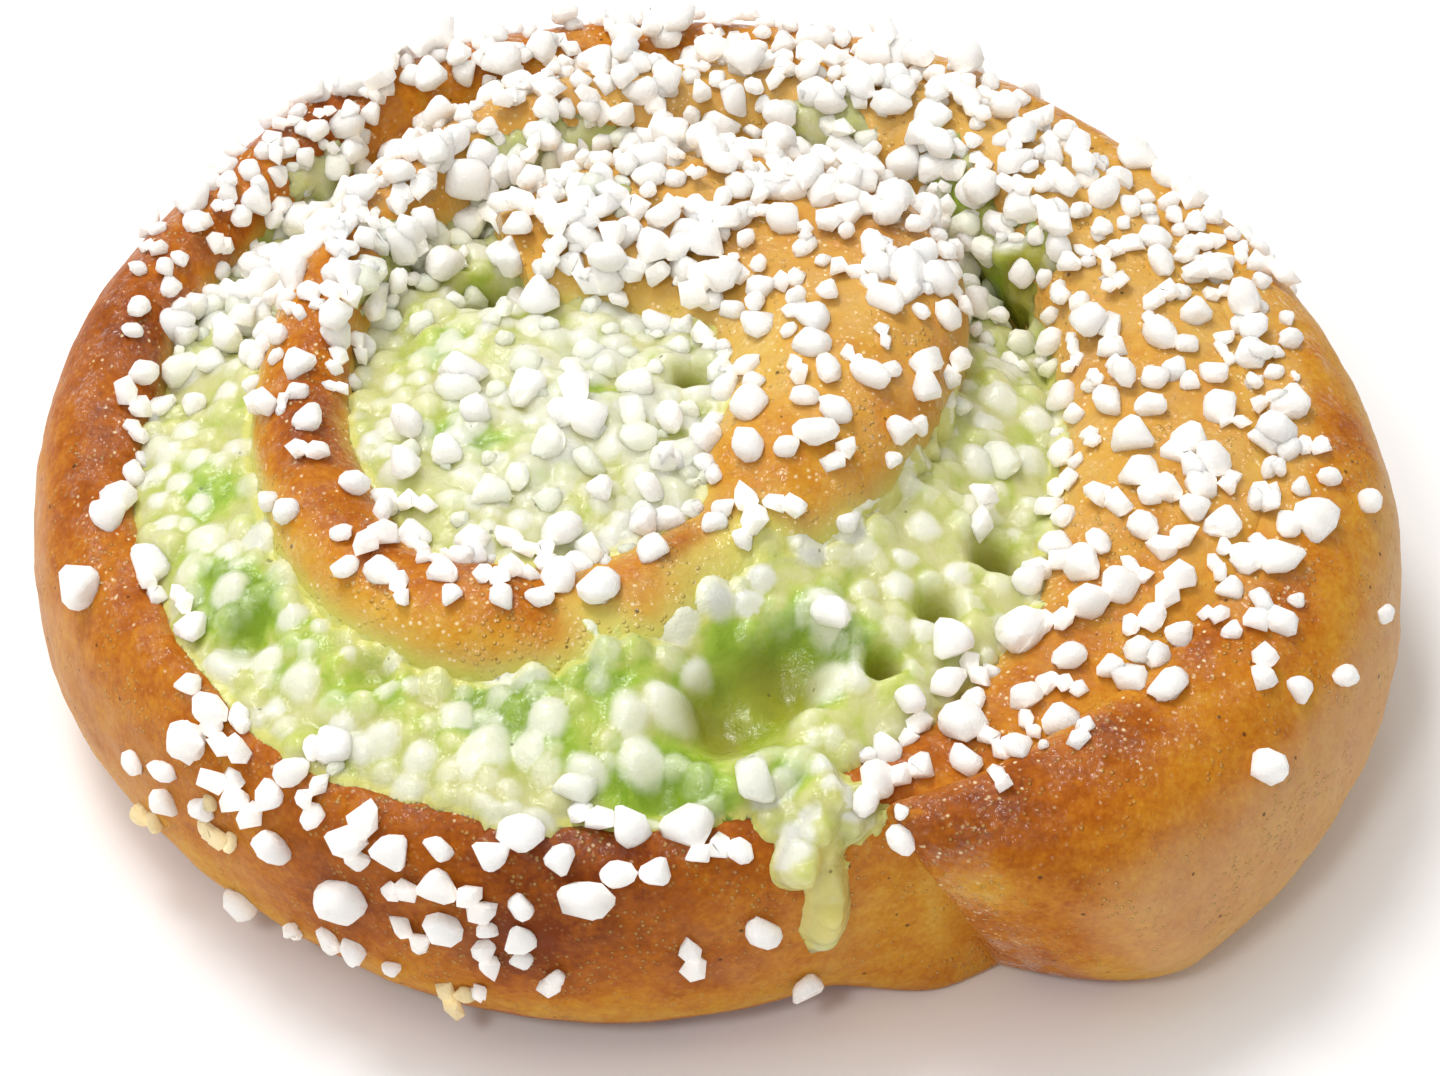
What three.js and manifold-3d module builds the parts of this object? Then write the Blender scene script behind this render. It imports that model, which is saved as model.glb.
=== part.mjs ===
// A pistachio bun: one strip of yeast dough rolled round a green pistachio filling, laid flat,
// baked to a low dome and strewn with pearl sugar.
// Two pieces. The dough is a coil of nearly two and a half turns whose loose end lies against the
// outside at the front right. The filling runs through the bun from base to top between the
// turns, widens to a pool at the middle, and drips over the rim once. Sugar lies on both.
// Millimetres, +Z up. The origin is the middle of the bun's footprint, at the base.
import * as THREE from "three";
import { mergeVertices } from "three/addons/utils/BufferGeometryUtils.js";
import Module from "manifold-3d";

const wasm = await Module();
wasm.setup();

// The coil is drawn in polar form about this point. Angles run anticlockwise from +X, and go on
// past 360 degrees as the strip winds inwards from its loose end.
const COIL_CENTRE = new THREE.Vector2(-9.47, -8.59);
const TURN = 360;
const TAIL_ANGLE = -57;
const CORE_ANGLE = 828;

// Each list below holds one value for each eighth of a turn, from KNOT_START on.
const KNOT_START = -90;
const KNOT_STEP = 45;
// Radius of the strip's inner face.
const INNER_FACE = [
  33, 40.5, 51, 50.5, 47, 40.3, 33.4, 32.6,
  31.6, 32, 35.5, 42, 35, 23.5, 17, 15.3,
  10.5, 8.5, 8.5, 13, 14, 15, 16,
];
// Radius of the bun's outline at its widest level, for the outermost turn.
const OUTLINE = [38.6, 54, 64, 60.5, 56.6, 50.4, 44.3, 38.2, 38.3, 40];
// How far the outermost turn's free side curls under towards the base.
const CURL = [8.5, 7, 7.5, 8, 9, 9, 9, 8.8, 8.5, 8.5];
// Room for filling inside the inner face. Below zero the two turns are baked together.
const GAP = [-1.5, -1.5, -1.5, -1.5, 3, 8.5, 7, 7.5, 9, 12.5, 10, 5, 4, 3.5, 3];
// Height of the strip's crest.
const CREST = [
  25, 25, 26, 27, 27, 26, 24.5, 23.5,
  23, 24, 26.5, 29, 31, 32, 31.5, 31,
  30.5, 31, 33, 34, 33, 31.5, 30,
];

// How the strip's section is rounded.
const CREST_DROP = 6.5; // from the crest down to the wall beside open filling
const SEAM_DROP = 1.6; // the same where two turns are baked together
const WIDEST_LEVEL = 12; // height at which a free side stands furthest out
const WALL_LEVEL = 2; // height at which a side that faces filling turns under
const WALL_CURL = 1.2;
const FOOT_WIDTH = 2.5; // least width of the strip at the base, where its inner side gives way
const CREST_POWER = 2.2; // exponent of the rounding, 2 for an ellipse
const INNER_SHARES = [1, 0.72, 0.4];
const OUTER_SHARES = [0, 0.3, 0.52, 0.76, 1];
const UNDER_SHARES = [0.5, 1];
const THIN_STRIP = 0.8;
// Where the crest stands across the strip, from its inner face at 0 to its outer face at 1: on a
// held turn, at the loose end, and further along the free turn, with the angles between which it
// moves out.
const LEAN = { held: 0.5, end: 0.2, free: 0.38, from: -20, to: 60 };
// Angles between which the turns part, with filling between them from there on.
const SEAM_OPENS = [55, 90];
// How far before and after the loose end's own angle, one turn on, the free side comes to be held.
const HELD_FROM = -6;
const HELD_TO = 10;
// Slow swelling of the dough, so that no stretch is as regular as its rule: height, pace, start.
const SWELLS = [[0.45, 3.1, 20], [0.3, 7.3, 0]];

// The loose end: its foot lags behind its top, and the lag fades out along the strip.
const TAIL_LAG = 15;
const TAIL_LENGTH = 48;
const TAIL_ROUND = 15; // degrees over which the end comes to its full width
const TAIL_END = 0.35; // width of the very end, as a share of the full width
const TAIL_OVERLAP = 16; // degrees over which the next turn tucks in behind the loose end

const OUTER_STEP = 8; // degrees from one section to the next
const INNER_STEP = 11;
const STEP_CHANGE = 150;

// The filling's top is a low dome, a little below the crests beside it.
const CLEARANCE = 0.3;
const DOME_TOP = 30.5;
const DOME_FALL = 9.5; // how much lower the dome is at DOME_RADIUS
const DOME_RADIUS = 40;
const DOME_RINGS = 11;
const DOME_SECTORS = 40;
const DOME_TUCK = 3; // how far the filling runs in under the outermost turn before it is cut
const RIPPLES = { long: 0.5, short: 0.3 };
// Hollows where the filling has sunk or pulled away: place from the coil's centre, width, depth.
const HOLLOWS = [
  { x: -7.6, y: 17, width: 4.5, depth: 5.5 },
  { x: 24, y: -24, width: 5, depth: 2.6 },
  { x: 14, y: -28, width: 5, depth: 2.2 },
  { x: 33, y: -6, width: 4, depth: 3 },
  { x: 8.5, y: 6, width: 3.6, depth: 2 },
];

// Angles the drip lies between, its thickness, the level of its tip, how much higher its edges
// end, and how deep its root goes into the dough before it is cut.
const DRIP = { from: 289.5, to: 299.5, thickness: 2.1, low: 8.5, edgeLift: 4, root: 1, steps: 8 };

// Pearl sugar.
const SEED = 20;
const GRAIN = { least: 1.7, most: 2.8, narrow: 0.8, flat: 0.64, rough: 0.16, raised: 0.4, tilt: 0.5 };
const GRAIN_SPACING = 0.8; // of the sum of two grains' half lengths
const DOUGH_GRAINS = 130;
const FILLING_GRAINS = 60;
const TRIES = 9000;
const DOUGH_REACH = 64; // radius within which grains are tried on the dough
const FILLING_REACH = 40;
const SAFE_GAP = 0.05; // added to the clearance between a grain and the other piece
const SLOPE_SPAN = 1; // length over which the dough's slope is read
// How thickly sugar lies along the strip's crest, from 0 to 1, for each eighth of a turn.
const SUGAR = [
  0.9, 0.7, 0.6, 0.6, 0.8, 0.4, 0.1, 0.7,
  1, 0.8, 0.6, 0.6, 0.8, 0.6, 0.3, 0.25,
  0.6, 0.6, 0.5, 0.6, 0.8, 0.8, 0.8,
];
// The same for the free side below the outermost crest, down to a level.
const SIDE_SUGAR = [1, 0, 0, 0, 0.5, 0.3, 0, 0.8, 1, 0.9];
const SIDE_SUGAR_LEVEL = 15;
// Single grains on the free side, as angle and height.
const LOOSE_GRAINS = [
  [194, 22.5], [281, 14.6], [266, 13], [234, 20], [244, 17.5], [223, 18], [333, 20.7], [341, 22.6],
  [344, 20], [352, 18.6], [359, 23], [23, 25.5], [120, 21], [75, 20], [150, 23], [256, 18], [271, 19],
];

// Points nearer to each other than this are one point.
const WELD = 1e-4;
const CRYSTAL_WELD = 1e-3;

const { degToRad, smoothstep, lerp, clamp } = THREE.MathUtils;

// A smooth curve through values that stand KNOT_STEP degrees apart.
function through(values, angle) {
  const t = (angle - KNOT_START) / KNOT_STEP;
  const i = clamp(Math.floor(t), 0, values.length - 2);
  const u = clamp(t - i, 0, 1);
  const [p0, p1, p2, p3] = [-1, 0, 1, 2].map((k) => values[clamp(i + k, 0, values.length - 1)]);
  return 0.5 * (2 * p1 + (p2 - p0) * u + (2 * p0 - 5 * p1 + 4 * p2 - p3) * u ** 2
    + (3 * p1 - p0 - 3 * p2 + p3) * u ** 3);
}

// 1 where filling parts the turns at this angle, 0 where they are baked together.
const openSeam = (a) => smoothstep(a, ...SEAM_OPENS);
// 1 where the strip's outer side is free, 0 where another turn lies against it.
const freeSide = (a) => 1 - smoothstep(a, TAIL_ANGLE + TURN + HELD_FROM, TAIL_ANGLE + TURN + HELD_TO);
const swell = (a) => SWELLS.reduce((sum, [height, pace, start]) => (
  sum + height * Math.sin(degToRad(pace * a + start))
), 0);

function outerFace(a) {
  const free = through(OUTLINE, Math.min(a, TURN - KNOT_STEP));
  const tuckFrom = TAIL_ANGLE + TURN - TAIL_OVERLAP / 2;
  if (a < tuckFrom) return free;
  const held = through(INNER_FACE, a - TURN) - through(GAP, a - TURN);
  return lerp(free, held, smoothstep(a, tuckFrom, tuckFrom + TAIL_OVERLAP));
}

// The strip's section at an angle, grown on all sides by a little if need be. A width below 1
// draws its outer side in.
function section(a, grow, width) {
  const free = freeSide(a);
  const low = through(INNER_FACE, a) - grow;
  const high = low + Math.max((outerFace(a) + grow - low) * width, THIN_STRIP);
  const crest = through(CREST, a) + swell(a) + grow;
  // The loose end's crest is a ridge near its inner side. It rounds off further along.
  const freeLean = lerp(LEAN.end, LEAN.free, smoothstep(a, LEAN.from, LEAN.to));
  const lean = lerp(LEAN.held, freeLean, free);
  return {
    low, high, crest,
    top: lerp(low, high, lean),
    innerDrop: lerp(SEAM_DROP, CREST_DROP, openSeam(a)),
    outerDrop: lerp(lerp(SEAM_DROP, CREST_DROP, openSeam(a - TURN)), crest - WIDEST_LEVEL, free),
    outerLevel: lerp(WALL_LEVEL, WIDEST_LEVEL, free),
    outerCurl: lerp(WALL_CURL, through(CURL, Math.min(a, TURN - KNOT_STEP)), free),
  };
}

function quarter(share) {
  const t = (share * Math.PI) / 2;
  return [Math.sin(t) ** (2 / CREST_POWER), Math.cos(t) ** (2 / CREST_POWER)];
}

// The part of the section's outline that goes over the crest, as [radius, height] pairs.
function overCrest(a, grow = 0, width = 1) {
  const s = section(a, grow, width);
  const inner = INNER_SHARES.map((share) => {
    const [out, up] = quarter(share);
    return [s.top - (s.top - s.low) * out, s.crest - s.innerDrop * (1 - up)];
  });
  const outer = OUTER_SHARES.map((share) => {
    const [out, up] = quarter(share);
    return [s.top + (s.high - s.top) * out, s.crest - s.outerDrop * (1 - up)];
  });
  return [...inner, ...outer];
}

// The whole outline, from the foot of the inner side over the crest and down to the outer foot.
function outline(a, grow = 0, width = 1) {
  const s = section(a, grow, width);
  const base = -2 * grow;
  const under = UNDER_SHARES.map((share) => {
    const [down, out] = quarter(share);
    return [s.high - s.outerCurl * (1 - out), lerp(s.outerLevel, base, down)];
  });
  const foot = Math.min(s.low + WALL_CURL, s.high - s.outerCurl - FOOT_WIDTH - 2 * grow);
  return [[foot, base], [foot - WALL_CURL, WALL_LEVEL], ...overCrest(a, grow, width), ...under];
}

function place(angle, radius, height) {
  const a = degToRad(angle);
  return [COIL_CENTRE.x + radius * Math.cos(a), COIL_CENTRE.y + radius * Math.sin(a), height];
}

// A closed skin over a row of rings that all have the same number of points. Each end is closed
// by rungs between a ring's first and last points, its second and last but one, and so on.
function skin(rings) {
  const count = rings[0].length;
  const index = [];
  for (let i = 0; i + 1 < rings.length; i += 1) {
    for (let j = 0; j < count; j += 1) {
      const p = i * count + j;
      const q = i * count + ((j + 1) % count);
      index.push(p, q, p + count, q, q + count, p + count);
    }
  }
  const last = (rings.length - 1) * count;
  for (let j = 0; j + 1 < count - 1 - j; j += 1) {
    const [a, b, c, d] = [j, j + 1, count - 2 - j, count - 1 - j];
    index.push(a, d, b, last + a, last + b, last + d);
    if (b !== c) index.push(b, d, c, last + b, last + c, last + d);
  }
  const geometry = new THREE.BufferGeometry();
  geometry.setAttribute("position", new THREE.Float32BufferAttribute(rings.flat(2), 3));
  geometry.setIndex(index);
  return geometry;
}

function solidOf(geometry) {
  const bare = geometry.clone();
  bare.deleteAttribute("normal");
  bare.deleteAttribute("uv");
  const merged = mergeVertices(bare, WELD);
  return new wasm.Manifold(new wasm.Mesh({
    numProp: 3,
    vertProperties: new Float32Array(merged.attributes.position.array),
    triVerts: new Uint32Array(merged.index.array),
  }));
}

function geometryOf(solid) {
  const mesh = solid.getMesh();
  const geometry = new THREE.BufferGeometry();
  geometry.setAttribute("position", new THREE.BufferAttribute(mesh.vertProperties, 3));
  geometry.setIndex(new THREE.BufferAttribute(mesh.triVerts, 1));
  geometry.computeVertexNormals();
  return geometry;
}

const largest = (solid) => solid.decompose().reduce((a, b) => (b.volume() > a.volume() ? b : a));

// The strip from one angle to another. The loose end is cut on the slant.
function strip(from, to, step, grow = 0) {
  const count = Math.round((to - from) / step);
  const rings = [];
  for (let k = 0; k <= count; k += 1) {
    const a = lerp(from, to, k / count);
    const fade = Math.max(0, 1 - (a - TAIL_ANGLE) / TAIL_LENGTH);
    const width = lerp(TAIL_END, 1, Math.sqrt(smoothstep(a, TAIL_ANGLE, TAIL_ANGLE + TAIL_ROUND)));
    rings.push(outline(a, grow, width).map(([radius, z], j) => {
      const lag = TAIL_LAG * fade * Math.max(0, 1 - z / through(CREST, a));
      if (lag === 0) return place(a, radius, z);
      return place(a + lag, outline(a + lag, grow, width)[j][0], z);
    }));
  }
  return solidOf(skin(rings));
}

function coil(grow = 0) {
  const outer = strip(TAIL_ANGLE - grow, STEP_CHANGE, OUTER_STEP, grow);
  const inner = strip(STEP_CHANGE, CORE_ANGLE + grow, INNER_STEP, grow);
  return outer.add(inner);
}

function domeHeight(x, y) {
  const radius = Math.hypot(x, y);
  const ripple = RIPPLES.long * Math.sin(0.33 * x + 0.7) * Math.cos(0.29 * y)
    + RIPPLES.short * Math.sin(0.61 * (x + y));
  const sunk = HOLLOWS.reduce((sum, h) => (
    sum + h.depth * Math.exp(-((x - h.x) ** 2 + (y - h.y) ** 2) / h.width ** 2)
  ), 0);
  return DOME_TOP - DOME_FALL * (radius / DOME_RADIUS) ** 2 + ripple - sunk;
}

// The filling before it is cut to the coil: a domed disc, its edge inside the outermost turn.
function dome() {
  const rings = [];
  for (let i = 0; i <= DOME_RINGS; i += 1) {
    rings.push([]);
    for (let k = 0; k < DOME_SECTORS; k += 1) {
      const angle = (k * TURN) / DOME_SECTORS;
      const edge = through(INNER_FACE, angle) + DOME_TUCK;
      const a = degToRad(angle);
      const radius = (edge * i) / DOME_RINGS;
      const x = radius * Math.cos(a);
      const y = radius * Math.sin(a);
      rings[i].push([COIL_CENTRE.x + x, COIL_CENTRE.y + y, domeHeight(x, y)]);
    }
  }
  rings.push(rings.at(-1).map(([x, y]) => [x, y, 0]));
  rings.push(rings.at(-1).map(() => [COIL_CENTRE.x, COIL_CENTRE.y, 0]));
  const count = DOME_SECTORS;
  const index = [];
  for (let i = 0; i + 1 < rings.length; i += 1) {
    for (let k = 0; k < count; k += 1) {
      const p = i * count + k;
      const q = i * count + ((k + 1) % count);
      if (i > 0) index.push(p, p + count, q);
      if (i + 2 < rings.length) index.push(q, p + count, q + count);
    }
  }
  const geometry = new THREE.BufferGeometry();
  geometry.setAttribute("position", new THREE.Float32BufferAttribute(rings.flat(2), 3));
  geometry.setIndex(index);
  return solidOf(geometry);
}

// The drip: a tongue of filling that lies over the outermost turn, thickest along its middle.
function drip() {
  const rings = [];
  for (let k = 0; k <= DRIP.steps; k += 1) {
    const across = (2 * k) / DRIP.steps - 1;
    const a = lerp(DRIP.from, DRIP.to, k / DRIP.steps);
    const bulge = DRIP.thickness * Math.sqrt(1 - across ** 2) - CLEARANCE;
    const low = DRIP.low + DRIP.edgeLift * across ** 2;
    const hold = (curve) => curve.map(([r, z]) => place(a, r, Math.max(z, low)));
    rings.push([...hold(overCrest(a, bulge)), ...hold(overCrest(a, -DRIP.root)).reverse()]);
  }
  return solidOf(skin(rings));
}

// A repeatable row of numbers from 0 to 1.
function numbers(seed) {
  let state = seed;
  return () => {
    state = (state + 0x6d2b79f5) | 0;
    let t = Math.imul(state ^ (state >>> 15), 1 | state);
    t = (t + Math.imul(t ^ (t >>> 7), 61 | t)) ^ t;
    return ((t ^ (t >>> 14)) >>> 0) / 4294967296;
  };
}
const draw = numbers(SEED);
const between = (low, high) => lerp(low, high, draw());

// The angle along the strip at which it passes through a place in plan, or null where it doesn't.
function turnAt(angle, radius) {
  for (let a = angle - TURN; a <= CORE_ANGLE; a += TURN) {
    if (a >= TAIL_ANGLE && radius > through(INNER_FACE, a) && radius < outerFace(a)) return a;
  }
  return null;
}

function heightOn(a, radius) {
  const curve = overCrest(a);
  const j = clamp(curve.findIndex(([r]) => r > radius), 1, curve.length - 1);
  const [[r0, z0], [r1, z1]] = [curve[j - 1], curve[j]];
  return lerp(z0, z1, clamp((radius - r0) / (r1 - r0), 0, 1));
}

// A spot where a grain may lie: its centre line's foot on the surface, and the surface's normal.
function spotOnDough() {
  const angle = between(0, TURN);
  const radius = Math.sqrt(draw()) * DOUGH_REACH;
  const a = turnAt(angle, radius);
  if (a === null) return null;
  const onSide = freeSide(a) > 0.5 && radius > section(a, 0, 1).top + 1;
  if (draw() > (onSide ? through(SIDE_SUGAR, a) : through(SUGAR, a))) return null;
  const z = heightOn(a, radius);
  if (z < SIDE_SUGAR_LEVEL) return null;
  const rise = heightOn(a, radius + SLOPE_SPAN / 2) - heightOn(a, radius - SLOPE_SPAN / 2);
  return { at: place(angle, radius, z), normal: normalAt(angle, rise / SLOPE_SPAN) };
}

function spotOnFilling() {
  const angle = between(0, TURN);
  const radius = Math.sqrt(draw()) * FILLING_REACH;
  if (turnAt(angle, radius) !== null || radius > through(INNER_FACE, angle)) return null;
  const [x, y] = [radius * Math.cos(degToRad(angle)), radius * Math.sin(degToRad(angle))];
  return { at: place(angle, radius, domeHeight(x, y)), normal: new THREE.Vector3(0, 0, 1) };
}

function spotOnSide([angle, z]) {
  const a = angle > TURN + TAIL_ANGLE ? angle - TURN : angle;
  const curve = overCrest(a);
  const j = curve.findLastIndex(([, height]) => height > z);
  const [[r0, z0], [r1, z1]] = [curve[j], curve[j + 1]];
  const radius = lerp(r0, r1, (z - z0) / (z1 - z0));
  return { at: place(angle, radius, z), normal: normalAt(angle, (z1 - z0) / (r1 - r0)) };
}

// The normal of a surface that rises by slope along the radius.
function normalAt(angle, slope) {
  const a = degToRad(angle);
  return new THREE.Vector3(-slope * Math.cos(a), -slope * Math.sin(a), 1).normalize();
}

// One grain of sugar: a blunt uneven crystal with its shortest way along the normal.
function grain(size) {
  const unit = new THREE.IcosahedronGeometry(1, 0);
  const points = mergeVertices(new THREE.BufferGeometry().setAttribute(
    "position", unit.attributes.position,
  ), CRYSTAL_WELD);
  const half = [size, size * GRAIN.narrow, size * GRAIN.flat];
  const corners = [...Array(points.attributes.position.count)];
  const jitter = corners.map(() => 1 + between(-1, 1) * GRAIN.rough);
  const tilt = () => between(-1, 1) * GRAIN.tilt;
  const turn = new THREE.Euler(tilt(), tilt(), between(0, 2 * Math.PI));
  return { points, half, jitter, turn };
}

function grainSolid({ points, half, jitter, turn }, { at, normal }, grow = 0) {
  const up = new THREE.Quaternion().setFromUnitVectors(new THREE.Vector3(0, 0, 1), normal);
  const centre = new THREE.Vector3(...at).addScaledVector(normal, half[2] * GRAIN.raised);
  const geometry = points.clone();
  const position = geometry.attributes.position;
  const p = new THREE.Vector3();
  for (let i = 0; i < position.count; i += 1) {
    p.fromBufferAttribute(position, i).multiplyScalar(jitter[i]);
    p.set(p.x * (half[0] + grow), p.y * (half[1] + grow), p.z * (half[2] + grow));
    p.applyEuler(turn).applyQuaternion(up).add(centre);
    position.setXYZ(i, p.x, p.y, p.z);
  }
  return solidOf(geometry);
}

// Strews grains over a piece, the largest first, each clear of the other piece and apart from
// the grains before it. The given spots are taken first.
function strew(piece, other, count, findSpot, givenSpots = []) {
  const placed = [];
  const solids = [piece];
  const tryAt = (spot, size) => {
    const apart = placed.every(({ at, size: s }) => (
      Math.hypot(at[0] - spot.at[0], at[1] - spot.at[1], at[2] - spot.at[2]) > GRAIN_SPACING * (size + s)
    ));
    if (!apart) return;
    const crystal = grain(size);
    if (!grainSolid(crystal, spot, CLEARANCE + SAFE_GAP).intersect(other).isEmpty()) return;
    placed.push({ at: spot.at, size });
    solids.push(grainSolid(crystal, spot));
  };
  for (const spot of givenSpots) tryAt(spot, between(GRAIN.least, GRAIN.most));
  for (let i = 0; i < TRIES && placed.length < count; i += 1) {
    const spot = findSpot();
    if (spot) tryAt(spot, lerp(GRAIN.most, GRAIN.least, placed.length / count));
  }
  return largest(wasm.Manifold.union(solids));
}

const doughCore = coil();
const fillingCore = largest(dome().add(drip()).subtract(coil(CLEARANCE)));
const doughSolid = strew(
  doughCore, fillingCore, DOUGH_GRAINS, spotOnDough, LOOSE_GRAINS.map(spotOnSide),
);
const fillingSolid = strew(fillingCore, doughSolid, FILLING_GRAINS, spotOnFilling);

const part = new THREE.Group();
const dough = new THREE.Mesh(
  geometryOf(doughSolid),
  new THREE.MeshStandardMaterial({ color: 0xc98a3c, roughness: 0.6, metalness: 0 }),
);
dough.name = "dough";
const filling = new THREE.Mesh(
  geometryOf(fillingSolid),
  new THREE.MeshStandardMaterial({ color: 0x9fbf45, roughness: 0.35, metalness: 0 }),
);
filling.name = "filling";
part.add(dough, filling);
export default part;
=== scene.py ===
"""A pistachio bun: a coiled strip of baked dough, a wet green filling between its turns, and pearl sugar.

The dough and the filling are modelled again, finely, from the same curves as the solids they stand for.
Sugar grains that stand out in the photograph have their places; the others are strewn by seeded rules.
Curves are in millimetres and degrees, meshes in metres, and places in the photograph in its pixels.
"""

import math
from contextlib import contextmanager

import bmesh
import bpy
import numpy as np
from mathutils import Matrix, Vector, noise
from mathutils.bvhtree import BVHTree


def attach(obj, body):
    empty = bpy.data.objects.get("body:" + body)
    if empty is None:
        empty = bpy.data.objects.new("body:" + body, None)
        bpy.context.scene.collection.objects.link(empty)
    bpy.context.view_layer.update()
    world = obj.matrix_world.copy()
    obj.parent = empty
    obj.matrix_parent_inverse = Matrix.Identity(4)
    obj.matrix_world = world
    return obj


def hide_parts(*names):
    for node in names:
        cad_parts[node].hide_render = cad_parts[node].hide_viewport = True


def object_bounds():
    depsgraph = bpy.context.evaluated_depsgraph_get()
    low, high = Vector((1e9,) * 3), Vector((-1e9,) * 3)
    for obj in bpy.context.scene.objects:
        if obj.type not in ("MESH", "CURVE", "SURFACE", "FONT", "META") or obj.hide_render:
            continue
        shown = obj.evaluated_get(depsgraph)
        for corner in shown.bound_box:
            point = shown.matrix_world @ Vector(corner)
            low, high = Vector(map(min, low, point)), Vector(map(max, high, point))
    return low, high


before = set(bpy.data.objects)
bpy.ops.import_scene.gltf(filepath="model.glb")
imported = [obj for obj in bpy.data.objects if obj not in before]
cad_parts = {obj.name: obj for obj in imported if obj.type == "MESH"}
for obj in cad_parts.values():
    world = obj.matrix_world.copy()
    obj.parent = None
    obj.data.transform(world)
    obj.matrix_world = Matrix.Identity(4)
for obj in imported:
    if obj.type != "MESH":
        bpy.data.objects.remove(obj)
cad_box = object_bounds()

MM = 0.001
TURN = 360.0

# The coil is drawn in polar form about its centre. Angles run anticlockwise from +X and go on past a
# full turn as the strip winds inwards from its loose end.
COIL_CENTRE = (-9.47, -8.59)
TAIL_ANGLE = -57.0
CORE_ANGLE = 828.0
# Each list that follows an angle has one value for each eighth of a turn, from KNOT_START on
KNOT_START = -90.0
KNOT_STEP = 45.0
LAST_FREE = TURN - KNOT_STEP
# Radius of the strip's inner face
INNER_FACE = [33, 40.5, 51, 50.5, 47, 40.3, 33.4, 32.6,
              31.6, 32, 35.5, 42, 35, 23.5, 17, 15.3,
              10.5, 8.5, 8.5, 13, 14, 15, 16]
# Radius of the bun's outline at its widest level
OUTLINE = [38.6, 54, 64, 60.5, 56.6, 50.4, 44.3, 38.2, 38.3, 40]
# How far the outermost turn's free side curls under
CURL = [8.5, 7, 7.5, 8, 9, 9, 9, 8.8, 8.5, 8.5]
# Room for filling inside the inner face, below zero where two turns are baked together
GAP = [-1.5, -1.5, -1.5, -1.5, 3, 8.5, 7, 7.5, 9, 12.5, 10, 5, 4, 3.5, 3]
# Height of the strip's crest
CREST = [25, 25, 26, 27, 27, 26, 24.5, 23.5,
         23, 24, 26.5, 29, 31, 32, 31.5, 31,
         30.5, 31, 33, 34, 33, 31.5, 30]
# How the strip's section is rounded: drops from the crest to the wall beside filling and beside a baked
# seam, levels and widths, and the exponent of the rounding, which is 2 for an ellipse
CREST_DROP = 6.5
SEAM_DROP = 1.6
WIDEST_LEVEL = 12.0
WALL_LEVEL = 2.0
WALL_CURL = 1.2
FOOT_WIDTH = 2.5
CREST_POWER = 2.2
THIN_STRIP = 0.8
# Where the crest stands across the strip, from 0 at its inner face to 1 at its outer face: on a held
# turn, at the loose end, and along the free turn, with the angles between which it moves out
LEAN_HELD = 0.5
LEAN_END = 0.2
LEAN_FREE = 0.38
LEAN_SPAN = (-20, 60)
# Angles between which the turns part, with filling between them from there on
SEAM_OPENS = (55, 90)
# How far before and after the loose end's own angle, one turn on, the free side comes to be held
HELD_SPAN = (TAIL_ANGLE + TURN - 6, TAIL_ANGLE + TURN + 10)
# Slow swelling of the dough: height, pace and start
SWELLS = [(0.45, 3.1, 20), (0.3, 7.3, 0)]
# The loose end: its foot lags behind its top, and the end comes to its full width over TAIL_ROUND degrees
TAIL_LAG = 15.0
TAIL_LENGTH = 48.0
TAIL_ROUND = 15.0
TAIL_END = 0.35
TAIL_OVERLAP = 16.0

# A fold in the dough's or the filling's skin sharper than this is shown as an edge
CREASE = math.radians(50)

# How finely the dough's skin is divided: degrees from one section to the next before and after the angle
# STEP_CHANGE, and points on each section
ALONG_OUTER = 0.6
ALONG_INNER = 1.0
STEP_CHANGE = 150.0
# The wall towards the filling: how far in from the foot each point stands and its share of the way up
INNER_WALL = [(0, 0), (WALL_CURL, 0), (WALL_CURL, 0.35), (WALL_CURL, 0.7)]
INNER_POINTS = 14
OUTER_POINTS = 36
UNDER_POINTS = 10
# Relief of the dough's skin: height, size of its lumps, shift and octaves. Below are the levels between
# which it fades in.
DOUGH_RELIEF = [(0.26, 8.0, 0.0, 2), (0.1, 2.4, 40.0, 3)]
RELIEF_SPAN = (1.0, 6.0)
# Where the skin at the strip's end is evened out, and how often
FOLDED = 0.4
FOLD_ROUNDS = 10

# How noise falls off and how much finer it gets from one octave to the next
NOISE_FALL = 0.8
NOISE_PACE = 2.1
# Sugar lies in clumps: how uneven the cover is, the clumps' size and shift, and how sharp their edge is
CLUMP_SWING = 0.8
CLUMP_SIZE = 4.5
CLUMP_SHIFT = 9.0
CLUMP_COVER = 1.3
CLUMP_EDGE = 0.12
# Where a point lies on the strip: degrees looked at past its ends, a miss for a turn that isn't there, the
# least width of a slope, how far across is followed, and how wide the two slopes' values join at the crest
END_SLACK = 2
NOT_THERE = 1e8
NARROWEST = 0.1
ACROSS_LIMIT = 1.2
CREST_JOIN = 0.25
# The loose end covers a little more than its own length, and beside it only dough that faces out shows
TAIL_MARGIN = 8
TUCKED_FACING = 0.2

# The filling
DOME_TOP = 30.5
DOME_FALL = 9.5
DOME_RADIUS = 40.0
DOME_TUCK = 3.0
RIPPLE_LONG = 0.5
RIPPLE_SHORT = 0.3
FILLING_REACH = 46.0
FILLING_GRID = 0.3
RIM_WIDTH = 1.6
RIM_DROP = 1.2
FILLING_RELIEF = [(0.36, 3.0, 3.0, 3)]
# How round the soaked grains are: 2 is a ball and more is blockier
ROUNDNESS = 6
# The six axes of an icosahedron, along which a soaked grain is faceted
GOLDEN = (1 + math.sqrt(5)) / 2
SIX_WAYS = np.array([(0, 1, GOLDEN), (0, -1, GOLDEN), (1, GOLDEN, 0), (-1, GOLDEN, 0), (GOLDEN, 0, 1),
                     (GOLDEN, 0, -1)]) / math.hypot(1, GOLDEN)
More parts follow.
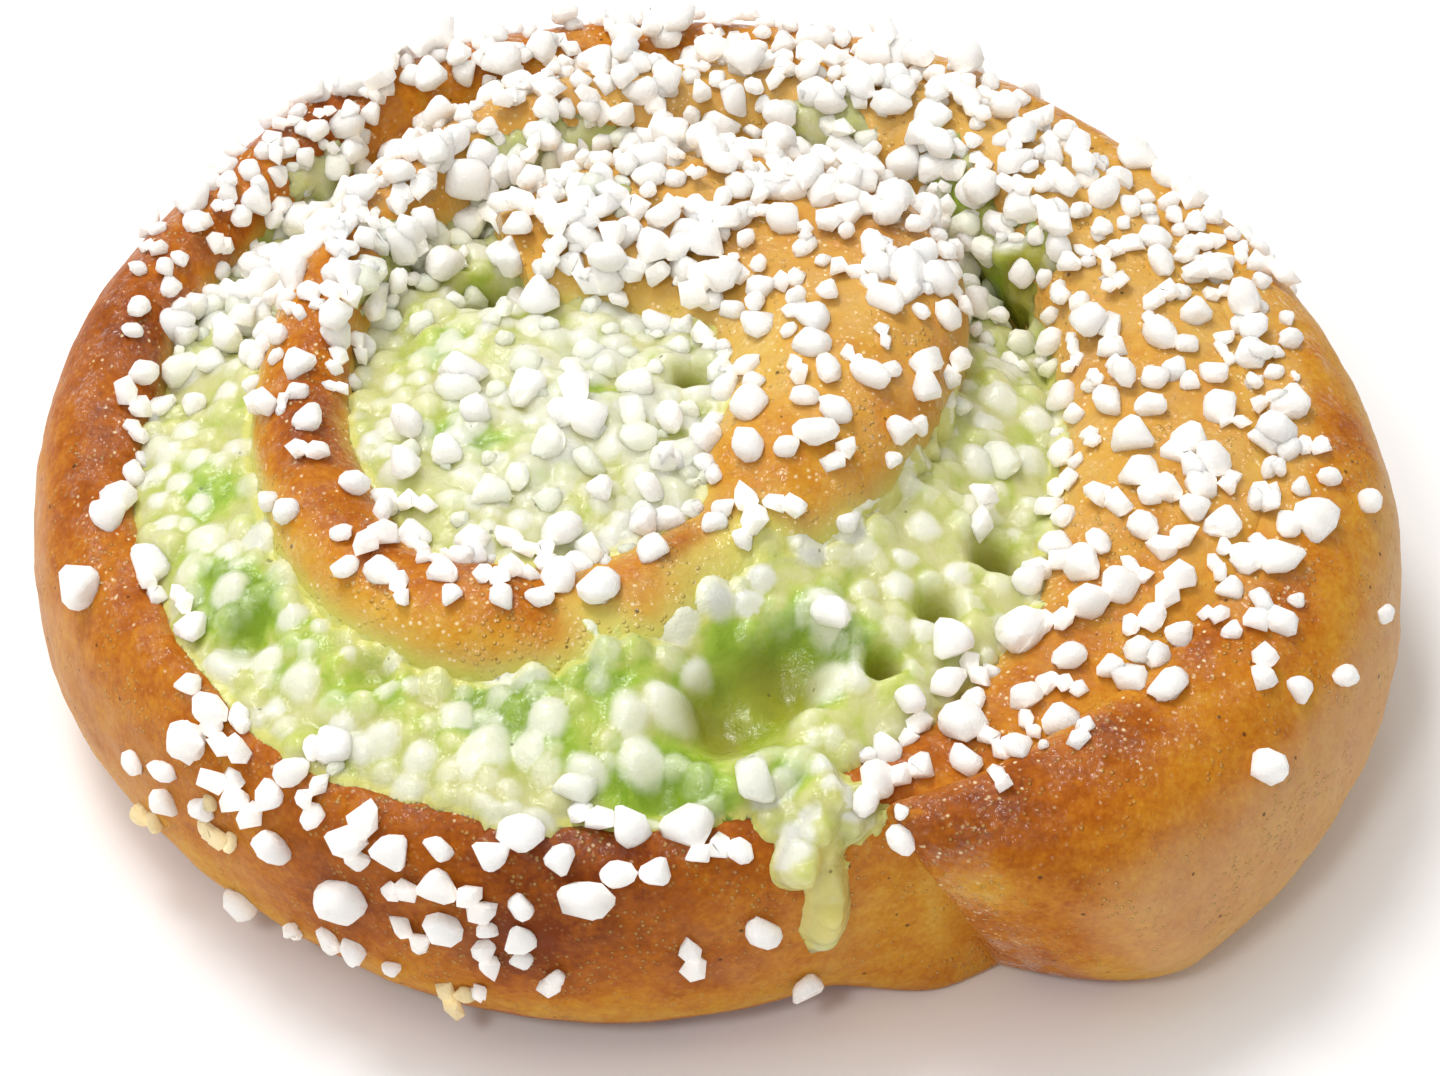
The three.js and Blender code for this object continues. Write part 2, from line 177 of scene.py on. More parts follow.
# Its facets' distances as shares of its half length, and how far round it they can reach
FACET_DRAW = (0.74, 1.16)
FACET_REACH = 1.8
# How bluntly it lifts the skin, and how high as a share of its half length
PEBBLE_BLUNT = 0.75
PEBBLE_RAISED = 0.6
# Soaked grains strewn between the noted ones: seeds, tries, least half length and spread in mm, the power
# that makes large ones rarer, and spacing as a share of two half lengths
PEBBLE_SEED = 5
STREWN_SEED = 8
PEBBLE_TRIES = 9000
PEBBLE_LEAST = 0.85
PEBBLE_SPREAD = 0.95
PEBBLE_FEW_LARGE = 1.3
PEBBLE_SPACING = 0.62
# Patches without them
BARE_PATCHES = [(1.0, 5.0, 70.0, 1)]
BARE_UNDER = -0.16
# How white the noted and the strewn ones are, and how much whiter within MIDDLE_RADIUS of the coil's centre
NOTED_TONE = 0.92
STREWN_TONE = (0.1, 0.7)
MIDDLE_TONE = 0.3
MIDDLE_RADIUS = 17
# A height over everything, from which the bun is sounded, in mm
WELL_ABOVE = 60
# The filling's skin is evened out where it is further than this from the dough, in metres
CLEAR_OF_DOUGH = 0.25 * MM
CLEAR_ROUNDS = 2
# Under this height it is left alone, in metres
KEPT_FOOT = 2 * MM
# The dough that cuts the filling reaches this far below the base, so that no two faces lie in one plane
CUT_BELOW = 0.2
BASE_LEVEL = 0.01
# Scraps of filling with fewer points than this are dropped
LEAST_POINTS = 600
# Below the filling's level by more than this there is no film on the dough
FILM_DEEPEST = 3.0
# Its full thickness, over how many mm of height it comes to it, the least and most share of it, how deep it
# runs inside the dough where nothing has crept over it, its most outside, and its relief
FILM_FULL = 0.45
FILM_EDGE = 1.5
FILM_SHARES = (-1.5, 1)
FILM_UNDER = -0.7
FILM_MOST = 4.0
FILM_RELIEF = [(0.25, 2.6, 20.0, 3)]
# Crept filling: how thick it is for its strength, where it starts, its most, its relief and the least
# strength that counts
CREPT_RISE = 1.5
CREPT_FROM = 0.55
CREPT_MOST = 0.8
CREPT_RELIEF = [(0.8, 1.7, 30.0, 2)]
CREPT_LEAST = 0.2
# The drip over the rim and its side lobe: pixel across, pixel down and half width in mm
DRIPS = [
    [(822, 786, 2.0), (823, 806, 2.5), (820, 832, 2.2), (823, 862, 1.7), (827, 894, 1.8), (825, 922, 2.1),
     (824, 934, 1.6)],
    [(812, 826, 1.6), (802, 846, 2.0), (797, 866, 2.1)],
    [(770, 800, 1.2), (768, 818, 1.3), (771, 830, .9)]]
# Where filling has crept over the dough, ragged at its edge: pixel across, pixel down, radius in mm and
# strength
CREEPS = [
    (735, 798, 1.6, .5), (765, 806, 2.2, .8), (795, 818, 2.6, .9), (825, 822, 2.6, 1), (848, 813, 2.2, .8),
    (862, 800, 1.6, .5), (975, 225, 3, .9), (1000, 262, 3, 1), (1015, 300, 3, 1), (1045, 250, 2.4, .8),
    (940, 168, 3, .7), (545, 178, 3.4, .8), (590, 190, 3, .7), (812, 124, 3, .7), (848, 130, 2.6, .6),
    (398, 264, 3, .9), (435, 258, 3, .9), (455, 300, 3, .8), (365, 285, 2.4, .7), (420, 300, 3, .8),
    (500, 165, 3, .9), (590, 150, 3, .7), (306, 186, 2.4, .8), (335, 172, 2.4, .7)]
# Where the drip is yellower: pixel across, pixel down, radius in mm and strength
DRIP_TINT = [(824, 850, 2, .5), (826, 885, 2.6, .9), (825, 925, 2.8, 1.2)]
DRIP_HEIGHT = 0.8
DRIP_RELIEF = [(0.22, 1.8, 5.0, 2)]
# How far around the film and the drips the skin is divided more finely, in mm
FILM_REACH = 0.3
FINE_REACH = 2.0

# Looks of the filling. Levels and distances from the coil's centre are in mm.
# Its back, where sugar heaps on it
BACK_SPAN = (5, 20)
# How far the green spots reach up and down, as a share of their width, and their most strength
GREEN_TALL = 0.7
GREEN_MOST = 1.2
# A soaked grain is whitest a little below the skin, over a height that is flattened, and faces up
PEBBLE_SUNK = np.array([0, 0, 0.5])
PEBBLE_FLAT = 0.35
WHITE_SPAN = (-0.4, 0.4)
FACING_UP = (0.1, 0.5)
# Milky patches at the middle
MILKY_SHARE = 0.5
MILKY_SPAN = (16, 8)
MILKY_PATCHES = [(1.0, 4.0, 50.0, 1)]
MILKY_EDGE = (-0.3, 0.2)
# Where it lies thinly over dough, and how much less that shows at the back
THIN_SPAN = (0.15, 1.1)
THIN_BACK = 0.6
# The depth of a hole at which its painted shade is darkest, and how bare of sugar holes are
DEEP_HOLE = 4
HOLE_BARE = 2.5
# How thickly sugar lies strewn on it at the middle and at least, and the levels between which that sets in
MIDDLE_SUGAR = 0.6
MIDDLE_SPAN = (17, 10)
LEAST_SUGAR = 0.12
GOO_LEVELS = (14, 18)

# The photograph and the camera that took it
IMAGE_SIZE = (1440, 1076)
PIXELS_PER_MM = 12.7
CAMERA_ELEVATION = 47.0
CAMERA_LENS = 120.0
CAMERA_SENSOR = 36.0
CAMERA_DISTANCE = 0.384
CAMERA_TARGET = Vector((0.53, -3.59, 13.0)) * MM

# How the dough baked, for each eighth of a turn: 0 is pale and 1 dark brown
BAKE_CREST = [.8, .72, .46, .44, .6, .7, .76, .72,
              .88, .7, .5, .4, .45, .55, .72, .68,
              .54, .54, .46, .5, .45, .27, .18]
BAKE_OUTER = [.66, .61, .42, .42, .58, .75, .62, .62,
              .8, .5, .4, .4, .4, .4, .36, .28,
              .2, .28, .5, .5, .4, .27, .22]
BAKE_INNER = [.66, .52, .36, .36, .45, .66, .78, .72,
              .7, .5, .4, .4, .42, .42, .5, .45,
              .45, .4, .35, .35, .2, .1, .05]
# How far up the strip's slopes the wet filling has climbed, in mm over its own level
FILM_OUTER = [0, 0, 0, 0, 0, 0, 0, 0,
              -3, -3, 1.6, 2.6, 2.8, 1, .3, .4,
              0, .2, 1.5, 2.2, 1.6, .6, .3]
FILM_INNER = [-3, -1, 1.6, 2.2, 2.2, 1.2, -1, -3,
              -3, -1, 1.8, 2, 2, .9, -.4, -.2,
              -.4, -.2, .6, .8, .4, .3, .3]
# How much green and yellow has soaked into the dough beyond it
SOAK_OUTER = [0, 0, 0, 0, 0, 0, 0, 0,
              .3, .3, .6, .9, 1, 1, .95, .95,
              1, 1, .7, .6, .5, .5, .4]
SOAK_INNER = [.2, .4, .7, .7, .6, .5, .5, .4,
              .3, .3, .6, .7, .7, .7, .6, .6,
              .6, .5, .5, .5, .8, .9, .9]
SOAK_REACH = 3.3
# Where looks of the crust come in across the strip, from 0 at its crest to 1 at its faces
OUTER_BAKES = (0.1, 1)
INNER_BAKES = (0.2, 1)
SYRUP_ENDS = (0.0, 0.5)
GLAZE_ENDS = (0.2, 0.6)
PALE_SHEEN_SPAN = (0.55, 1.0)
SIDE_FROM = 0.3
# How glazed the free side is, and how it baked near the base: levels, shares across and bake
SIDE_GLAZE = 0.12
LOW_SIDE = (13, 3)
LOW_SIDE_ACROSS = (0.4, 0.7)
LOW_SIDE_BAKE = 0.34
# Strewn sugar keeps above this level and off the slopes' feet, and heaps where it is thick and nearly level
SUGAR_LEVEL = 13
SUGAR_EDGE = 0.95
HEAPED = (0.7, 0.95)
LEVEL_ENOUGH = (0.7, 0.88)
# It keeps clear of each noted grain by this share of the grain's length
GRAIN_ROOM = 0.6
# How thickly sugar lies strewn on the dough, on the strip's outer and inner slopes and on the free side
SUGAR_OUTER = [0, .2, .5, .65, 1.2, .7, .05, 0,
               0, .15, .55, .9, 1.3, .9, .2, .04,
               .06, .1, .6, 1, 1.3, 1, .7]
SUGAR_INNER = [0, .3, .85, .95, 1.2, 1, .4, .05,
               .1, .3, .7, 1, 1.3, 1, .5, .7,
               .9, .6, .6, 1, 1.3, 1, .7]
SIDE_SUGAR = [0, 0, .05, .3, .5, .3, 0, 0, 0, 0]
# How pale and sticky the sugar has left the dough round it
SYRUP = [0, 0, .75, .7, .35, .15, 0, 0,
         0, .3, .7, .9, .9, .5, .1, 0,
         .1, .3, .6, .8, .7, .6, .6]
# How pale the free side is: partly a paler bake, partly painted sheen that stands in for the white
# surroundings reflected at grazing angles
PALE_AND_SHEEN = [.5, .85, 1.15, .9, .7, .5, .8, .3, .25, .4]

# Dry grains that stand out, as pixel across, pixel down and length in pixels
LEFT_GRAINS = [
    (90, 589, 58), (146, 570, 48), (150, 592, 36), (121, 502, 14), (131, 476, 34), (184, 599, 30),
    (194, 630, 38), (139, 375, 34), (131, 403, 42), (164, 411, 46), (197, 408, 34), (133, 434, 34),
    (189, 687, 30), (212, 711, 48), (244, 718, 30), (191, 738, 44), (154, 251, 32), (195, 224, 34),
    (238, 218, 36), (218, 245, 34), (288, 150, 28), (264, 153, 26), (327, 146, 22), (362, 135, 24),
    (369, 114, 28), (383, 95, 26), (175, 334, 46), (140, 272, 24), (226, 196, 30), (250, 172, 26)]
FRONT_GRAINS = [
    (192, 743, 50), (137, 760, 32), (166, 768, 34), (233, 746, 40), (215, 726, 30), (244, 723, 24),
    (229, 777, 42), (170, 801, 38), (206, 807, 34), (247, 804, 46), (272, 795, 38), (291, 770, 42),
    (311, 749, 32), (334, 749, 42), (314, 792, 34), (316, 815, 32), (276, 842, 52), (360, 826, 54),
    (395, 848, 42), (349, 897, 56), (401, 887, 36), (438, 846, 32), (441, 882, 42), (478, 900, 42),
    (492, 852, 40), (527, 832, 56), (559, 856, 38), (522, 905, 30), (414, 930, 42), (446, 925, 46),
    (489, 927, 26), (489, 953, 36), (521, 936, 34), (521, 956, 24), (553, 977, 34), (581, 896, 62),
    (360, 858, 28), (592, 817, 44), (629, 833, 48), (616, 872, 42), (655, 873, 38), (687, 832, 54),
    (708, 850, 40), (740, 850, 32), (760, 927, 44), (690, 954, 38), (805, 980, 40), (242, 897, 40),
    (271, 919, 30), (296, 928, 30), (331, 936, 34), (357, 948, 34), (480, 989, 26), (394, 965, 24)]
TAIL_GRAINS = [
    (906, 834, 38), (903, 813, 20), (874, 784, 40), (909, 774, 44), (866, 801, 36), (964, 763, 40),
    (999, 781, 30), (1019, 752, 34), (1058, 721, 42), (1030, 728, 28), (1023, 702, 36), (1047, 686, 28),
    (1071, 689, 30), (1110, 671, 36), (1071, 660, 42), (1043, 747, 14), (962, 726, 50), (995, 747, 34),
    (976, 704, 38), (945, 688, 46), (973, 671, 34), (952, 643, 46), (910, 697, 34), (915, 736, 36),
    (880, 749, 42), (1023, 638, 62), (1054, 625, 38), (1025, 582, 42), (1089, 608, 54), (1082, 569, 50),
    (1119, 588, 42), (1137, 573, 30), (1150, 619, 38), (1130, 628, 28), (1173, 590, 46), (1178, 636, 32),
    (1139, 651, 34), (1215, 569, 28), (1263, 606, 34), (1296, 602, 20), (1261, 671, 42), (1296, 690, 32),
    (1341, 676, 34), (1263, 765, 48), (1382, 615, 22), (1406, 600, 22), (1394, 682, 32), (1267, 275, 48),
    (1230, 237, 26), (1256, 250, 28), (1219, 295, 28), (1275, 355, 20), (1273, 374, 22), (1295, 377, 14),
    (1256, 384, 24), (1291, 408, 48), (1311, 449, 34), (1262, 441, 46), (1272, 470, 30), (1254, 503, 32),
    (1220, 412, 40), (1232, 424, 28), (1211, 465, 48), (1212, 376, 36), (1224, 357, 24), (1189, 384, 24),
    (1158, 381, 34), (1117, 370, 32), (1110, 406, 44), (1150, 408, 36), (1093, 440, 28), (1134, 443, 50),
    (1160, 338, 48), (1195, 318, 42), (1185, 347, 28), (1160, 299, 38), (1192, 280, 30), (1160, 267, 42),
    (1122, 251, 36), (1088, 263, 20), (1366, 503, 34), (1396, 495, 30), (1109, 503, 44), (1050, 508, 36),
    (1066, 520, 30), (1067, 486, 34), (1139, 478, 46), (1165, 491, 38), (1192, 513, 38), (1200, 488, 36),
    (1230, 484, 30), (1143, 527, 40), (1100, 545, 34), (1172, 545, 40), (1060, 548, 38), (1150, 500, 28)]
SECOND_TURN_GRAINS = [
    (265, 405, 44), (296, 395, 26), (308, 423, 36), (310, 455, 40), (272, 501, 28), (353, 489, 38),
    (401, 466, 42), (386, 506, 34), (420, 506, 36), (342, 537, 30), (347, 569, 34), (375, 544, 44),
    (416, 542, 42), (381, 572, 36), (403, 592, 32), (469, 542, 36), (444, 575, 34), (491, 579, 34),
    (451, 597, 28), (566, 532, 50), (636, 524, 40), (654, 554, 34), (534, 552, 34), (548, 569, 36),
    (599, 592, 58), (750, 511, 42), (742, 539, 28), (725, 511, 26), (783, 506, 36), (652, 489, 36),
    (597, 492, 34), (667, 461, 38), (712, 443, 46), (750, 449, 48), (700, 469, 34), (753, 408, 40),
    (730, 373, 26), (806, 400, 36), (828, 373, 40), (798, 371, 30), (815, 436, 50), (788, 449, 28),
    (838, 456, 36), (924, 361, 40), (921, 388, 38), (709, 342, 40), (812, 322, 44), (857, 316, 44),
    (871, 250, 40), (878, 271, 36), (847, 274, 36), (943, 319, 40), (919, 314, 26), (921, 290, 28),
    (713, 302, 32), (764, 292, 36), (730, 278, 42), (682, 273, 44), (775, 254, 62), (838, 224, 52),
    (785, 223, 46), (740, 221, 40), (716, 233, 40), (688, 240, 40), (719, 183, 66), (740, 192, 44),
    (507, 540, 34), (520, 575, 34), (475, 555, 34), (500, 600, 30)]
BACK_GRAINS = [
    (273, 212, 40), (307, 215, 36), (261, 273, 56), (285, 264, 44), (261, 323, 50), (282, 337, 34),
    (253, 357, 36), (310, 294, 26), (322, 310, 26), (356, 189, 36), (356, 210, 40), (348, 230, 40),
    (342, 253, 38), (337, 276, 38), (360, 273, 36), (395, 247, 56), (334, 337, 40), (354, 348, 32),
    (397, 153, 56), (454, 144, 46), (424, 120, 34), (463, 181, 52), (429, 172, 38), (498, 170, 42),
    (541, 140, 50), (593, 106, 40), (564, 110, 26), (540, 51, 42), (558, 63, 28), (580, 66, 28),
    (509, 71, 30), (484, 61, 30), (465, 73, 34), (606, 54, 26), (621, 116, 36), (664, 90, 32),
    (642, 64, 30), (668, 40, 44), (695, 63, 46), (750, 70, 44), (788, 74, 26), (816, 96, 44),
    (854, 96, 38), (895, 107, 50), (847, 150, 50), (792, 157, 58), (719, 126, 50), (847, 188, 50),
    (578, 193, 40), (552, 200, 32), (626, 207, 50), (650, 181, 44), (626, 237, 46), (640, 267, 42),
    (943, 226, 42), (909, 161, 46), (950, 147, 32)]
GOO_GRAINS = [
    (464, 376, 52), (530, 391, 48), (576, 403, 56), (474, 414, 40), (407, 427, 46), (443, 453, 44),
    (596, 420, 40), (978, 512, 48), (668, 418, 40), (832, 612, 48)]
DRY_GRAINS = LEFT_GRAINS + FRONT_GRAINS + TAIL_GRAINS + SECOND_TURN_GRAINS + BACK_GRAINS + GOO_GRAINS
CARAMEL_GRAINS = [
    (146, 812, 32), (158, 820, 24), (221, 833, 38), (234, 840, 26), (208, 826, 24), (452, 992, 36),
    (466, 990, 24), (212, 800, 20)]
# Grains that lie soaked in the wet filling, under its skin
WET_GRAINS = [
    (567, 455, 50), (536, 327, 44), (608, 310, 40), (560, 430, 36), (610, 450, 34), (640, 400, 40),
    (262, 539, 40), (207, 541, 44), (230, 552, 36), (229, 592, 46), (292, 617, 30), (300, 682, 46),
    (229, 662, 50), (262, 658, 40), (275, 711, 28), (506, 658, 46), (530, 635, 30), (583, 627, 36),
    (811, 539, 52), (846, 524, 46), (712, 595, 52), (676, 615, 46), (750, 605, 32), (762, 579, 32),
    (832, 612, 58), (978, 512, 50), (899, 443, 52), (876, 467, 38), (675, 701, 58), (629, 715, 44),
    (548, 718, 46), (831, 675, 52), (855, 675, 36), (699, 668, 36), (873, 404, 40), (947, 397, 34),
    (925, 528, 34), (667, 418, 40), (700, 391, 36), (899, 589, 34), (925, 632, 32), (870, 500, 30),
    (990, 425, 30), (1012, 372, 34), (985, 350, 30), (905, 560, 28), (958, 575, 30),
    (613, 309, 44), (673, 302, 34), (675, 326, 38), (1010, 252, 44),
    (212, 323, 34), (215, 356, 32), (186, 432, 34), (199, 459, 30), (169, 452, 32), (159, 475, 28),
    (179, 485, 28), (199, 505, 26), (169, 525, 28), (185, 380, 30), (225, 395, 28), (160, 500, 24),
    (1058, 267, 38), (1099, 290, 34), (1042, 420, 42), (1029, 460, 44), (796, 862, 46), (765, 795, 30),
    (488, 748, 50), (530, 752, 40), (420, 760, 40), (384, 738, 40), (586, 772, 40), (640, 762, 46),
    (340, 730, 34), (360, 752, 32), (455, 720, 40), (470, 765, 36), (980, 460, 40), (1000, 400, 44),
    (838, 800, 32), (810, 830, 28), (850, 822, 26), (824, 905, 26), (822, 780, 30)]

# Places where the filling is bright green: pixel across, pixel down, radius in mm and strength
GREEN_SPOTS = [
    (205, 490, 3, .7), (215, 575, 3.2, .8), (240, 620, 3, .9), (262, 600, 2, .8), (300, 640, 2.5, .6),
    (340, 690, 2.5, .6), (510, 700, 3.5, 1), (470, 715, 2.5, .7), (560, 740, 2, .7), (600, 670, 3.5, .8),
    (660, 770, 3, .9), (700, 795, 3.5, 1), (620, 800, 2.5, .8), (440, 340, 2.5, .9), (470, 300, 2, .6),
    (590, 390, 2, .7), (455, 430, 2.5, .8), (500, 440, 2, .7), (850, 650, 3, .6), (730, 700, 5, .9),
    (780, 660, 4, .8), (830, 640, 3, .7), (975, 215, 3.5, .45), (1030, 240, 3, .3),
    (1000, 290, 2.5, .6), (380, 690, 2, .6), (790, 775, 2, .7)]
# Hollows and holes in the filling: pixel across, pixel down, radius and depth in mm
HOLLOWS = [
    (495, 288, 2.1, 8), (478, 296, 1.6, 7), (748, 690, 4.6, 2.6), (700, 715, 3, 1.8), (800, 660, 3.4, 2),
    (882, 655, 1.4, 4), (994, 548, 1.8, 4), (938, 600, 1.6, 3.4), (1022, 305, 2.4, 4), (690, 375, 1.3, 4),
    (245, 640, 2, 1.5), (372, 668, 1.6, 1.5), (660, 800, 2, 1.2), (835, 815, 1, 2), (815, 818, .8, 2)]
# Where the strip's end is pressed into the turn below: pixel across, pixel down, radius in mm and strength
TAIL_TIP = [(880, 812, 3.4, 1), (905, 828, 3, 1), (930, 850, 2.6, 1)]
# Places where the crust is darker or paler: pixel across, pixel down, radius in mm and change
BAKE_SPOTS = [
    (300, 420, 4, .2), (925, 230, 5, .3), (880, 215, 3, .2), (620, 75, 5, .15), (690, 560, 3, .35),
    (560, 620, 5, .15), (1290, 600, 4, .2), (1000, 790, 4, .12), (940, 840, 3, .12), (320, 120, 4, .25),
    (130, 330, 6, .15), (330, 890, 6, .2), (530, 925, 5, .25), (980, 890, 3, -.36), (930, 880, 3, -.25),
    (880, 910, 3, -.2), (1100, 450, 4, -.15), (1090, 350, 3, .25), (300, 600, 2, .1), (740, 350, 4, -.25),
    (770, 370, 4, -.15), (1350, 430, 3, .3), (1200, 640, 3, .2), (1110, 740, 3, .2)]

# A crystal's mean width is less than its length, so noted grains are made a little larger
GRAIN_GROWTH = 1.16
# A sugar crystal's faces larger than this, on a crystal of half length 1, stay flat
FACET_AREA = 0.16
# A crystal's hull: how many corners it has, the turn from one to the next, and how far out they stand
HULL_CORNERS = (8, 12)
GOLDEN_TURN = 2.39996
HULL_DRAW = (0.85, 1.2)
# Its faces that meet at less than this become one, and its edges are blunted by this much
FLAT_ANGLE = math.radians(15)
BLUNTED = (0.14, 0.24)
# What is added to a tree's seed for how grains are turned, toned and sized, and the power that makes large
# ones rarer
TURN_SEED = 7.0
TONE_SEED = 13.0
SIZE_SEED = 19.0
FEW_LARGE = 1.7
# Grains that come this near to the bun's own box, in metres, are dropped
BOX_MARGIN = 1e-5

# The studio: how bright its surroundings are, and each lamp's name, place, size and power
SKY = 0.47
LAMPS = [
    ("large softbox", (-0.4, 0.2, 1.0), 1.3, 4.4),
    ("small softbox", (-0.25, 0.25, 0.9), 0.32, 3.6),
    ("catch light", (-0.25, -0.5, 0.75), 0.16, 1.4)]
LIT_POINT = (0, 0, 0.01)
FLOOR_SIZE = 6.0


# Curves

def through(values, angle):
    """A smooth curve through values that stand KNOT_STEP degrees apart."""
    v = np.asarray(values, float)
    t = (np.asarray(angle, float) - KNOT_START) / KNOT_STEP
    i = np.clip(np.floor(t).astype(int), 0, len(v) - 2)
    u = np.clip(t - i, 0, 1)
    last = len(v) - 1
    p0, p1, p2, p3 = (v[np.clip(i + k, 0, last)] for k in (-1, 0, 1, 2))
    curve = 2 * p1 + (p2 - p0) * u + (2 * p0 - 5 * p1 + 4 * p2 - p3) * u**2
    return 0.5 * (curve + (3 * p1 - p0 - 3 * p2 + p3) * u**3)


def step(x, low, high):
    """A smooth step from 0 at low to 1 at high, whichever of the two is larger."""
    t = np.clip((np.asarray(x, float) - low) / (high - low), 0, 1)
    return t * t * (3 - 2 * t)


def mix(a, b, t):
    return a + (b - a) * t


def open_seam(a):
    """1 where filling parts the turns, 0 where they are baked together."""
    return step(a, *SEAM_OPENS)


def free_side(a):
    """1 where the strip's outer side is free, 0 where another turn lies against it."""
    return 1 - step(a, *HELD_SPAN)


def swell(a):
    return sum(height * np.sin(np.radians(pace * a + start)) for height, pace, start in SWELLS)


def outer_face(a):
    free = through(OUTLINE, np.minimum(a, LAST_FREE))
    held = through(INNER_FACE, a - TURN) - through(GAP, a - TURN)
    tuck = TAIL_ANGLE + TURN - TAIL_OVERLAP / 2
    return np.where(a < tuck, free, mix(free, held, step(a, tuck, tuck + TAIL_OVERLAP)))


def section(a, width=1.0):
    """The strip's section at an angle: its faces, its crest and how it rounds off."""
    free = free_side(a)
    low = through(INNER_FACE, a)
    high = low + np.maximum((outer_face(a) - low) * width, THIN_STRIP)
    crest = through(CREST, a) + swell(a)
    lean = mix(LEAN_HELD, mix(LEAN_END, LEAN_FREE, step(a, *LEAN_SPAN)), free)
    held_drop = mix(SEAM_DROP, CREST_DROP, open_seam(a - TURN))
    return {
        "low": low, "high": high, "crest": crest, "top": mix(low, high, lean),
        "inner_drop": mix(SEAM_DROP, CREST_DROP, open_seam(a)),
        "outer_drop": mix(held_drop, crest - WIDEST_LEVEL, free),
        "outer_level": mix(WALL_LEVEL, WIDEST_LEVEL, free),
        "outer_curl": mix(WALL_CURL, through(CURL, np.minimum(a, LAST_FREE)), free),
    }


def quarter(share):
    t = np.asarray(share) * math.pi / 2
    return np.sin(t) ** (2 / CREST_POWER), np.maximum(np.cos(t), 0) ** (2 / CREST_POWER)


def outline(a, width):
    """Radius and height of the section's outline. a has one column, or one for each point."""
    columns = len(INNER_WALL) + INNER_POINTS + OUTER_POINTS + UNDER_POINTS
    a = np.broadcast_to(a, (a.shape[0], columns))
    s = section(a, width)
    radius, height = np.zeros(a.shape), np.zeros(a.shape)
    foot = np.minimum(s["low"] + WALL_CURL, s["high"] - s["outer_curl"] - FOOT_WIDTH)
    wall_top = s["crest"] - s["inner_drop"]
    for j, (inset, share) in enumerate(INNER_WALL):
        level = 0 if j == 0 else WALL_LEVEL
        radius[:, j] = mix(foot[:, j] - inset, s["low"][:, j], share)
        height[:, j] = mix(level, wall_top[:, j], share)
    at = len(INNER_WALL)
    for share in np.linspace(1, 1 / INNER_POINTS, INNER_POINTS):
        out, up = quarter(share)
        radius[:, at] = s["top"][:, at] - (s["top"] - s["low"])[:, at] * out
        height[:, at] = s["crest"][:, at] - s["inner_drop"][:, at] * (1 - up)
        at += 1
    for share in np.linspace(0, 1, OUTER_POINTS):
        out, up = quarter(share)
        radius[:, at] = s["top"][:, at] + (s["high"] - s["top"])[:, at] * out
        height[:, at] = s["crest"][:, at] - s["outer_drop"][:, at] * (1 - up)
        at += 1
    for share in np.linspace(1 / UNDER_POINTS, 1, UNDER_POINTS):
        down, out = quarter(share)
        radius[:, at] = s["high"][:, at] - s["outer_curl"][:, at] * (1 - out)
        height[:, at] = s["outer_level"][:, at] * (1 - down)
        at += 1
    return radius, height


def place(angle, radius, height):
    a = np.radians(angle)
    x = COIL_CENTRE[0] + radius * np.cos(a)
    y = COIL_CENTRE[1] + radius * np.sin(a)
    return np.stack(np.broadcast_arrays(x, y, height), -1)


# Meshes

def new_object(name, points, faces):
    mesh = bpy.data.meshes.new(name)
    mesh.from_pydata([tuple(p) for p in points], [], faces)
    mesh.update()
    piece = bpy.data.objects.new(name, mesh)
    bpy.context.scene.collection.objects.link(piece)
    return piece


def skin(name, rings):
    """A closed skin over rings (rows, points, xyz), its two ends closed by rungs."""
    rows, count = rings.shape[:2]
    i, j = np.meshgrid(np.arange(rows - 1), np.arange(count), indexing="ij")
    p = (i * count + j).ravel()
    q = (i * count + (j + 1) % count).ravel()
    faces = np.stack([p, q, q + count, p + count], 1).tolist()
    last = (rows - 1) * count
    for j in range(count // 2 - 1):
        a, b, c, d = j, j + 1, count - 2 - j, count - 1 - j
        faces.append([a, d, c, b])
        faces.append([last + a, last + b, last + c, last + d])
    return new_object(name, rings.reshape(-1, 3) * MM, faces)


def bake_modifiers(piece):
    """Replaces a piece's mesh by what its modifiers make of it."""
    graph = bpy.context.evaluated_depsgraph_get()
    mesh = bpy.data.meshes.new_from_object(piece.evaluated_get(graph), preserve_all_data_layers=True,
                                           depsgraph=graph)
    piece.modifiers.clear()
    old = piece.data
    piece.data = mesh
    bpy.data.meshes.remove(old)
    mesh.name = piece.name


def combine(piece, other, operation):
    """Joins or cuts one closed mesh with another."""
    modifier = piece.modifiers.new("combine", "BOOLEAN")
    modifier.operation = operation
    modifier.solver = "MANIFOLD"
    modifier.object = other
    bake_modifiers(piece)


@contextmanager
def edited(piece):
    """Opens a piece's mesh for editing and writes it back."""
    bm = bmesh.new()
    bm.from_mesh(piece.data)
    yield bm
    bm.to_mesh(piece.data)
    bm.free()


def discard(piece):
    mesh = piece.data
    bpy.data.objects.remove(piece)
    bpy.data.meshes.remove(mesh)


def copy_of(piece, name):
    other = bpy.data.objects.new(name, piece.data.copy())
    bpy.context.scene.collection.objects.link(other)
    return other


def mesh_vectors(piece, which):
    """A mesh's points or its normals, one row each."""
    values = np.empty(len(piece.data.vertices) * 3, np.float32)
    if which == "points":
        piece.data.vertices.foreach_get("co", values)
        values = values / MM
    else:
        piece.data.vertex_normals.foreach_get("vector", values)
    return values.reshape(-1, 3).astype(float)


def move_points(piece, points):
    piece.data.vertices.foreach_set("co", (points * MM).astype(np.float32).ravel())
    piece.data.update()


def set_attribute(piece, name, values):
    attribute = piece.data.attributes.new(name, "FLOAT", "POINT")
    attribute.data.foreach_set("value", np.asarray(values, np.float32))


def set_vectors(piece, name, values):
    attribute = piece.data.attributes.new(name, "FLOAT_VECTOR", "POINT")
    attribute.data.foreach_set("vector", np.asarray(values, np.float32).ravel())


